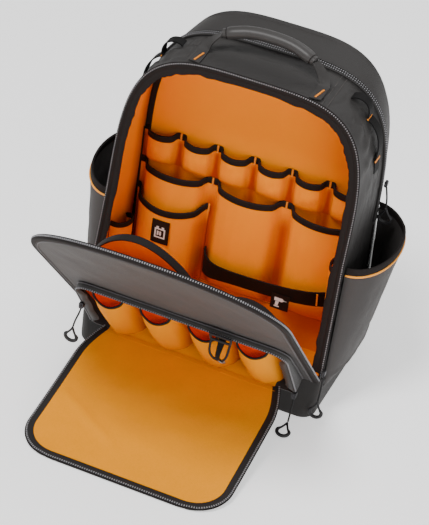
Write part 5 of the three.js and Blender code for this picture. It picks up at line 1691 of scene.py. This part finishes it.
class BACKPACK_OT_webbing(BackpackMaker, bpy.types.Operator):
    """Make the handle and the daisy loops"""
    bl_idname = "backpack.webbing"
    bl_label = "Handle and loops"

    def execute(self, context):
        look = finishes()
        self.handle(look)
        self.daisies(look)
        return {"FINISHED"}

    def handle(self, look):
        high, y = HANDLE_HIGH, HANDLE_Y
        stops = [(-HANDLE_HALF, y, high - 8), (-HANDLE_HALF / 2, y + 8, high), (0, y + 10, high + 2),
                 (HANDLE_HALF / 2, y + 8, high), (HANDLE_HALF, y, high - 8)]
        curve = through(stops, 16)
        path = [(p, Vector((0, 0, 1))) for p in curve]
        swell = lambda s: 1 - 0.28 * math.exp(-(s / 0.05) ** 2) - 0.28 * math.exp(-((1 - s) / 0.05) ** 2)
        grip = sweep("grip_body", [path], round_profile(10, 24, 0.84), look["grip"], scale=swell)
        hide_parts("handle_grip")
        collars = []
        for k in (2, -7):
            collars.append([(curve[k + i], Vector((0, 0, 1))) for i in range(5)])
        sweep("grip_collars", collars,
              [(8.6 * math.cos(2 * math.pi * k / 20), 7.2 * math.sin(2 * math.pi * k / 20))
               for k in range(20)], look["trim"])
        marks = []
        for sign, name in ((-1, "handle_web_left"), (1, "handle_web_right")):
            end = curve[0] if sign < 0 else curve[-1]
            run = (curve[1] - curve[0]).normalized() if sign < 0 else (curve[-1] - curve[-2]).normalized()
            level = Vector((0, 1, 0)) - run * run.y
            tack = HANDLE_TACK_X
            web_stops = [end + run * (sign * 0.8), Vector((sign * (tack - 4), y - 6, high - 24)),
                         Vector((sign * tack, 0, self.top_z(0) + 2)),
                         Vector((sign * tack, -10, self.top_z(-10))),
                         Vector((sign * tack, -32, self.top_z(-32)))]
            across = lambda u, level=level, sign=sign: level.lerp(Vector((sign, 0.2, 0)), min(1, u * 2.2))
            grid = strap_grid(web_stops, 12, 16, WEB_THICK, across)
            web = cloth(f"{name}_strap", grid, WEB_THICK - 0.2, look["outer"], angle=60)
            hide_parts(name)
            at = lambda x, y: Vector((sign * tack + x, y, self.top_z(y) + WEB_THICK / 2 + 0.5))
            marks.append((at(3.5, -8), at(-0.5, -29), (0, 0, 1)))
        tacks("handle_tacks", marks, look["thread"], width=0.0022)

    @staticmethod
    def top_z(y):
        depth = (y - FRONT_HEAD_Y) / (RIDGE_Y - FRONT_HEAD_Y)
        arch = between(FRONT, RIDGE, depth)
        edge = HANDLE_TACK_X - 8
        height = (1 - (edge / arch["shoulder"]) ** arch["power"]) ** (1 / arch["power"])
        return arch["shoulder_z"] + (arch["top"] - arch["shoulder_z"]) * height + 0.5 + WEB_THICK / 2

    def daisies(self, look):
        stops = (0.198, 0.221, 0.315, 0.383)
        hump = lambda s, a, b, high: high * math.sin(math.pi * clamp((s - a) / (b - a))) ** 0.7
        marks = []
        for sign, name in ((-1, "daisy_web_left"), (1, "daisy_web_right")):
            along = lambda u: mix(stops[0], stops[3], u) if sign < 0 else 1 - mix(stops[0], stops[3], u)

            def lift(u):
                s = mix(stops[0], stops[3], u)
                first = hump(s, stops[1], stops[2], DAISY_HIGH * 0.6)
                return 0.5 + first + hump(s, stops[2], stops[3], DAISY_HIGH)

            point = lambda u, v: skin(along(u), 0.66 + (v - 0.5) * 0.17, lift(u) + WEB_THICK)
            web = cloth(f"{name}_strap", grid_of(80, 6, point), WEB_THICK - 0.2, look["webbing"],
                        turned=sign > 0, angle=60)
            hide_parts(name)
            for s in (0.11, 0.63):
                a, b = (skin(along(s), 0.66 + k, lift(s) + WEB_THICK + 0.3) for k in (-0.085, 0.085))
                marks.append((a, b, skin_out(along(s), 0.66)))
        tacks("daisy_tacks", marks, look["thread"])


def swell(piece, voxel, pressure, cap, frames=20):
    """Blows a padded piece up a little as cloth; no point moves further than the cap, in metres."""
    scene = bpy.context.scene
    looks = list(piece.data.materials)

    def taken():
        depsgraph = bpy.context.evaluated_depsgraph_get()
        made = bpy.data.meshes.new_from_object(piece.evaluated_get(depsgraph), depsgraph=depsgraph)
        piece.modifiers.clear()
        return made

    even_mesh = piece.modifiers.new("even mesh", "REMESH")
    even_mesh.mode, even_mesh.voxel_size = "VOXEL", voxel
    piece.data = taken()
    count = len(piece.data.vertices)
    start = np.empty(count * 3)
    piece.data.vertices.foreach_get("co", start)
    air = piece.modifiers.new("air", "CLOTH")
    air.settings.quality = 5
    air.settings.use_pressure = True
    air.settings.uniform_pressure_force = pressure
    air.settings.effector_weights.gravity = 0
    air.point_cache.frame_start, air.point_cache.frame_end = 1, frames
    for number in range(1, frames + 1):
        scene.frame_set(number)
    blown = taken()
    end = np.empty(count * 3)
    blown.vertices.foreach_get("co", end)
    scene.frame_set(1)
    moved = (end - start).reshape(-1, 3)
    reach = np.maximum(np.linalg.norm(moved, axis=1, keepdims=True), 1e-9)
    end = start.reshape(-1, 3) + moved * np.minimum(1, cap / reach)
    piece.data.vertices.foreach_set("co", end.ravel())
    finer = piece.modifiers.new("finer", "SUBSURF")
    finer.levels = finer.render_levels = 1
    piece.data = taken()
    piece.data.materials.clear()
    for look in looks:
        piece.data.materials.append(look)
    piece.data.shade_smooth()


class BACKPACK_OT_carrying(BackpackMaker, bpy.types.Operator):
    """Make the back pad, the shoulder straps and their webs"""
    bl_idname = "backpack.carrying"
    bl_label = "Back and shoulder straps"

    def execute(self, context):
        look = finishes()
        self.pad(look)
        self.straps(look)
        return {"FINISHED"}

    def pad(self, look):
        low, high, corner = 86, 408, 58
        front, thick = BACK_Y + GAP + 2.4, 9

        def half(z):
            radius = corner / 2 if z < (low + high) / 2 else corner
            edge = min(z - low, high - z)
            return 116 - radius + math.sqrt(max(radius ** 2 - max(radius - edge, 0) ** 2, 0))

        def point(u, v):
            z = mix(low, high, (1 - math.cos(math.pi * v)) / 2)
            x = -(2 * u - 1) * max(half(z), 2)
            edge = smooth(min(z - low, high - z) / 12) * smooth((half(z) - abs(x)) / 12)
            return Vector((x, front + mix(thick * 0.35, thick, edge), z))

        pad = cloth("back_pad_mesh", grid_of(64, 80, point), thick * 0.8, look["mesh"], angle=50)
        swell(pad, 0.005, 4, 0.0022)
        channels = lambda x, z: max(math.exp(-(x / 6) ** 2), *(math.exp(-((z - at - abs(x) * 0.12) / 5) ** 2)
                                                             for at in (165, 245, 325)))
        for vertex in pad.data.vertices:
            if vertex.co.y * 1000 > front + thick / 2:
                vertex.co.y -= 0.0042 * channels(vertex.co.x * 1000, vertex.co.z * 1000)
        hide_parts("back_pad")

    def straps(self, look):
        surface = BACK_Y + GAP + 14 + GAP
        table = [(0, 0, 0), (0.245, 0.2, 0.45), (0.53, 0.5, 1), (0.79, 0.8, 0.9), (1, 1, 0.55)]
        lines = []
        for sign, side in ((-1, "left"), (1, "right")):
            on = lambda down, spread, sag: Vector((sign * mix(52, 92, spread), surface + 5.5 + sag * 22,
                                                   mix(402, 190, down)))
            path = [(p, Vector((0, 1, 0))) for p in through([on(*row) for row in table], 14)]
            pad = sweep(f"strap_pad_{side}_foam", [path[1:-1]], tape_profile(60, 7.6, 3.4, 4), look["pad"])
            swell(pad, 0.004, 4, 0.0017)
            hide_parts(f"strap_pad_{side}")
            for reach in (-24, 24):
                lines.append(even([(p + Vector((reach, 4.9, 0)), up) for p, up in path[3:-3]], 3))
            start = on(*table[-1]) + Vector((0, 0, -GAP - WEB_THICK / 4))
            end = Vector((sign * 150, BACK_Y + GAP + WEB_THICK / 2, BOOT_TOP + 2 * WEB_THICK))
            run = [(0, 0, 1), (0.32, 0.24, 0.72), (0.67, 0.72, 0.44), (0.9, 0.97, 0.04), (1, 1, 0)]
            stops = [Vector((mix(start.x, end.x, b), mix(end.y, start.y, c), mix(start.z, end.z, a)))
                     for a, b, c in run]
            grid = strap_grid(stops, 12, 25, WEB_THICK, lambda u: (-1, 0, 0))
            web = cloth(f"strap_web_{side}_tape", grid, WEB_THICK - 0.2, look["webbing"], angle=60)
            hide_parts(f"strap_web_{side}")
        stitches("strap_pad_stitches", lines, look["dark_thread"])


# Lights: name, place in metres, diameter and power
LIGHTS = (("key", (-0.6, -1.35, 3.2), 1.1, 86), ("fill", (1.9, -2.3, 0.8), 1.7, 33),
          ("back", (0.4, 1.8, 2.4), 1.8, 18))
FLOOR_SIZE, FLOOR_GLOW, WORLD_LIGHT = 90, 0.75, 0.48


class BACKPACK_OT_stage(BackpackMaker, bpy.types.Operator):
    """Make the pale floor, the lights and the world"""
    bl_idname = "backpack.stage"
    bl_label = "Stage"

    def execute(self, context):
        white = bpy.data.materials.new("studio floor")
        white.use_nodes = True
        shader = white.node_tree.nodes["Principled BSDF"]
        shader.inputs["Base Color"].default_value = (0.9, 0.9, 0.9, 1)
        shader.inputs["Roughness"].default_value = 0.9
        shader.inputs["Emission Color"].default_value = (1, 1, 1, 1)
        shader.inputs["Emission Strength"].default_value = FLOOR_GLOW
        bpy.ops.mesh.primitive_plane_add(size=FLOOR_SIZE, location=(0, 0, -0.0003))
        floor = context.object
        floor.name = "studio_floor"
        floor.data.materials.append(white)
        for name, place, size, power in LIGHTS:
            data = bpy.data.lights.new(f"{name} light", "AREA")
            data.shape, data.size, data.energy = "DISK", size, power
            light = bpy.data.objects.new(f"{name} light", data)
            light.location = place
            aim = Vector((0, -0.05, 0.2)) - light.location
            light.rotation_euler = aim.to_track_quat("-Z", "Y").to_euler()
            context.scene.collection.objects.link(light)
        world = bpy.data.worlds.new("studio world")
        world.use_nodes = True
        background = world.node_tree.nodes["Background"]
        background.inputs["Color"].default_value = (1, 1, 1, 1)
        background.inputs["Strength"].default_value = WORLD_LIGHT
        context.scene.world = world
        return {"FINISHED"}


MAKERS = (BACKPACK_OT_camera, BACKPACK_OT_pulls, BACKPACK_OT_body, BACKPACK_OT_zips, BACKPACK_OT_boot,
          BACKPACK_OT_wall, BACKPACK_OT_inside, BACKPACK_OT_panel, BACKPACK_OT_front_pocket, BACKPACK_OT_flap,
          BACKPACK_OT_side_pockets, BACKPACK_OT_webbing, BACKPACK_OT_carrying, BACKPACK_OT_stage)


class BACKPACK_PT_sidebar(bpy.types.Panel):
    """The backpack's pieces, colours and sizes"""
    bl_idname = "BACKPACK_PT_sidebar"
    bl_label = "Open tool backpack"
    bl_space_type = "VIEW_3D"
    bl_region_type = "UI"
    bl_category = "Backpack"

    def draw(self, context):
        for group in (context.scene.backpack_colours, context.scene.backpack_sizes):
            for key in group.__annotations__:
                self.layout.prop(group, key)
        for maker in MAKERS:
            self.layout.operator(maker.bl_idname)


CLASSES = (BackpackColours, BackpackSizes, *MAKERS, BACKPACK_PT_sidebar)


def register():
    for item in CLASSES:
        bpy.utils.register_class(item)
    bpy.types.Scene.backpack_colours = bpy.props.PointerProperty(type=BackpackColours)
    bpy.types.Scene.backpack_sizes = bpy.props.PointerProperty(type=BackpackSizes)


def unregister():
    del bpy.types.Scene.backpack_sizes
    del bpy.types.Scene.backpack_colours
    for item in reversed(CLASSES):
        bpy.utils.unregister_class(item)


def main():
    register()
    for maker in MAKERS:
        group, name = maker.bl_idname.split(".")
        getattr(getattr(bpy.ops, group), name)()


if __name__ == "__main__":
    main()
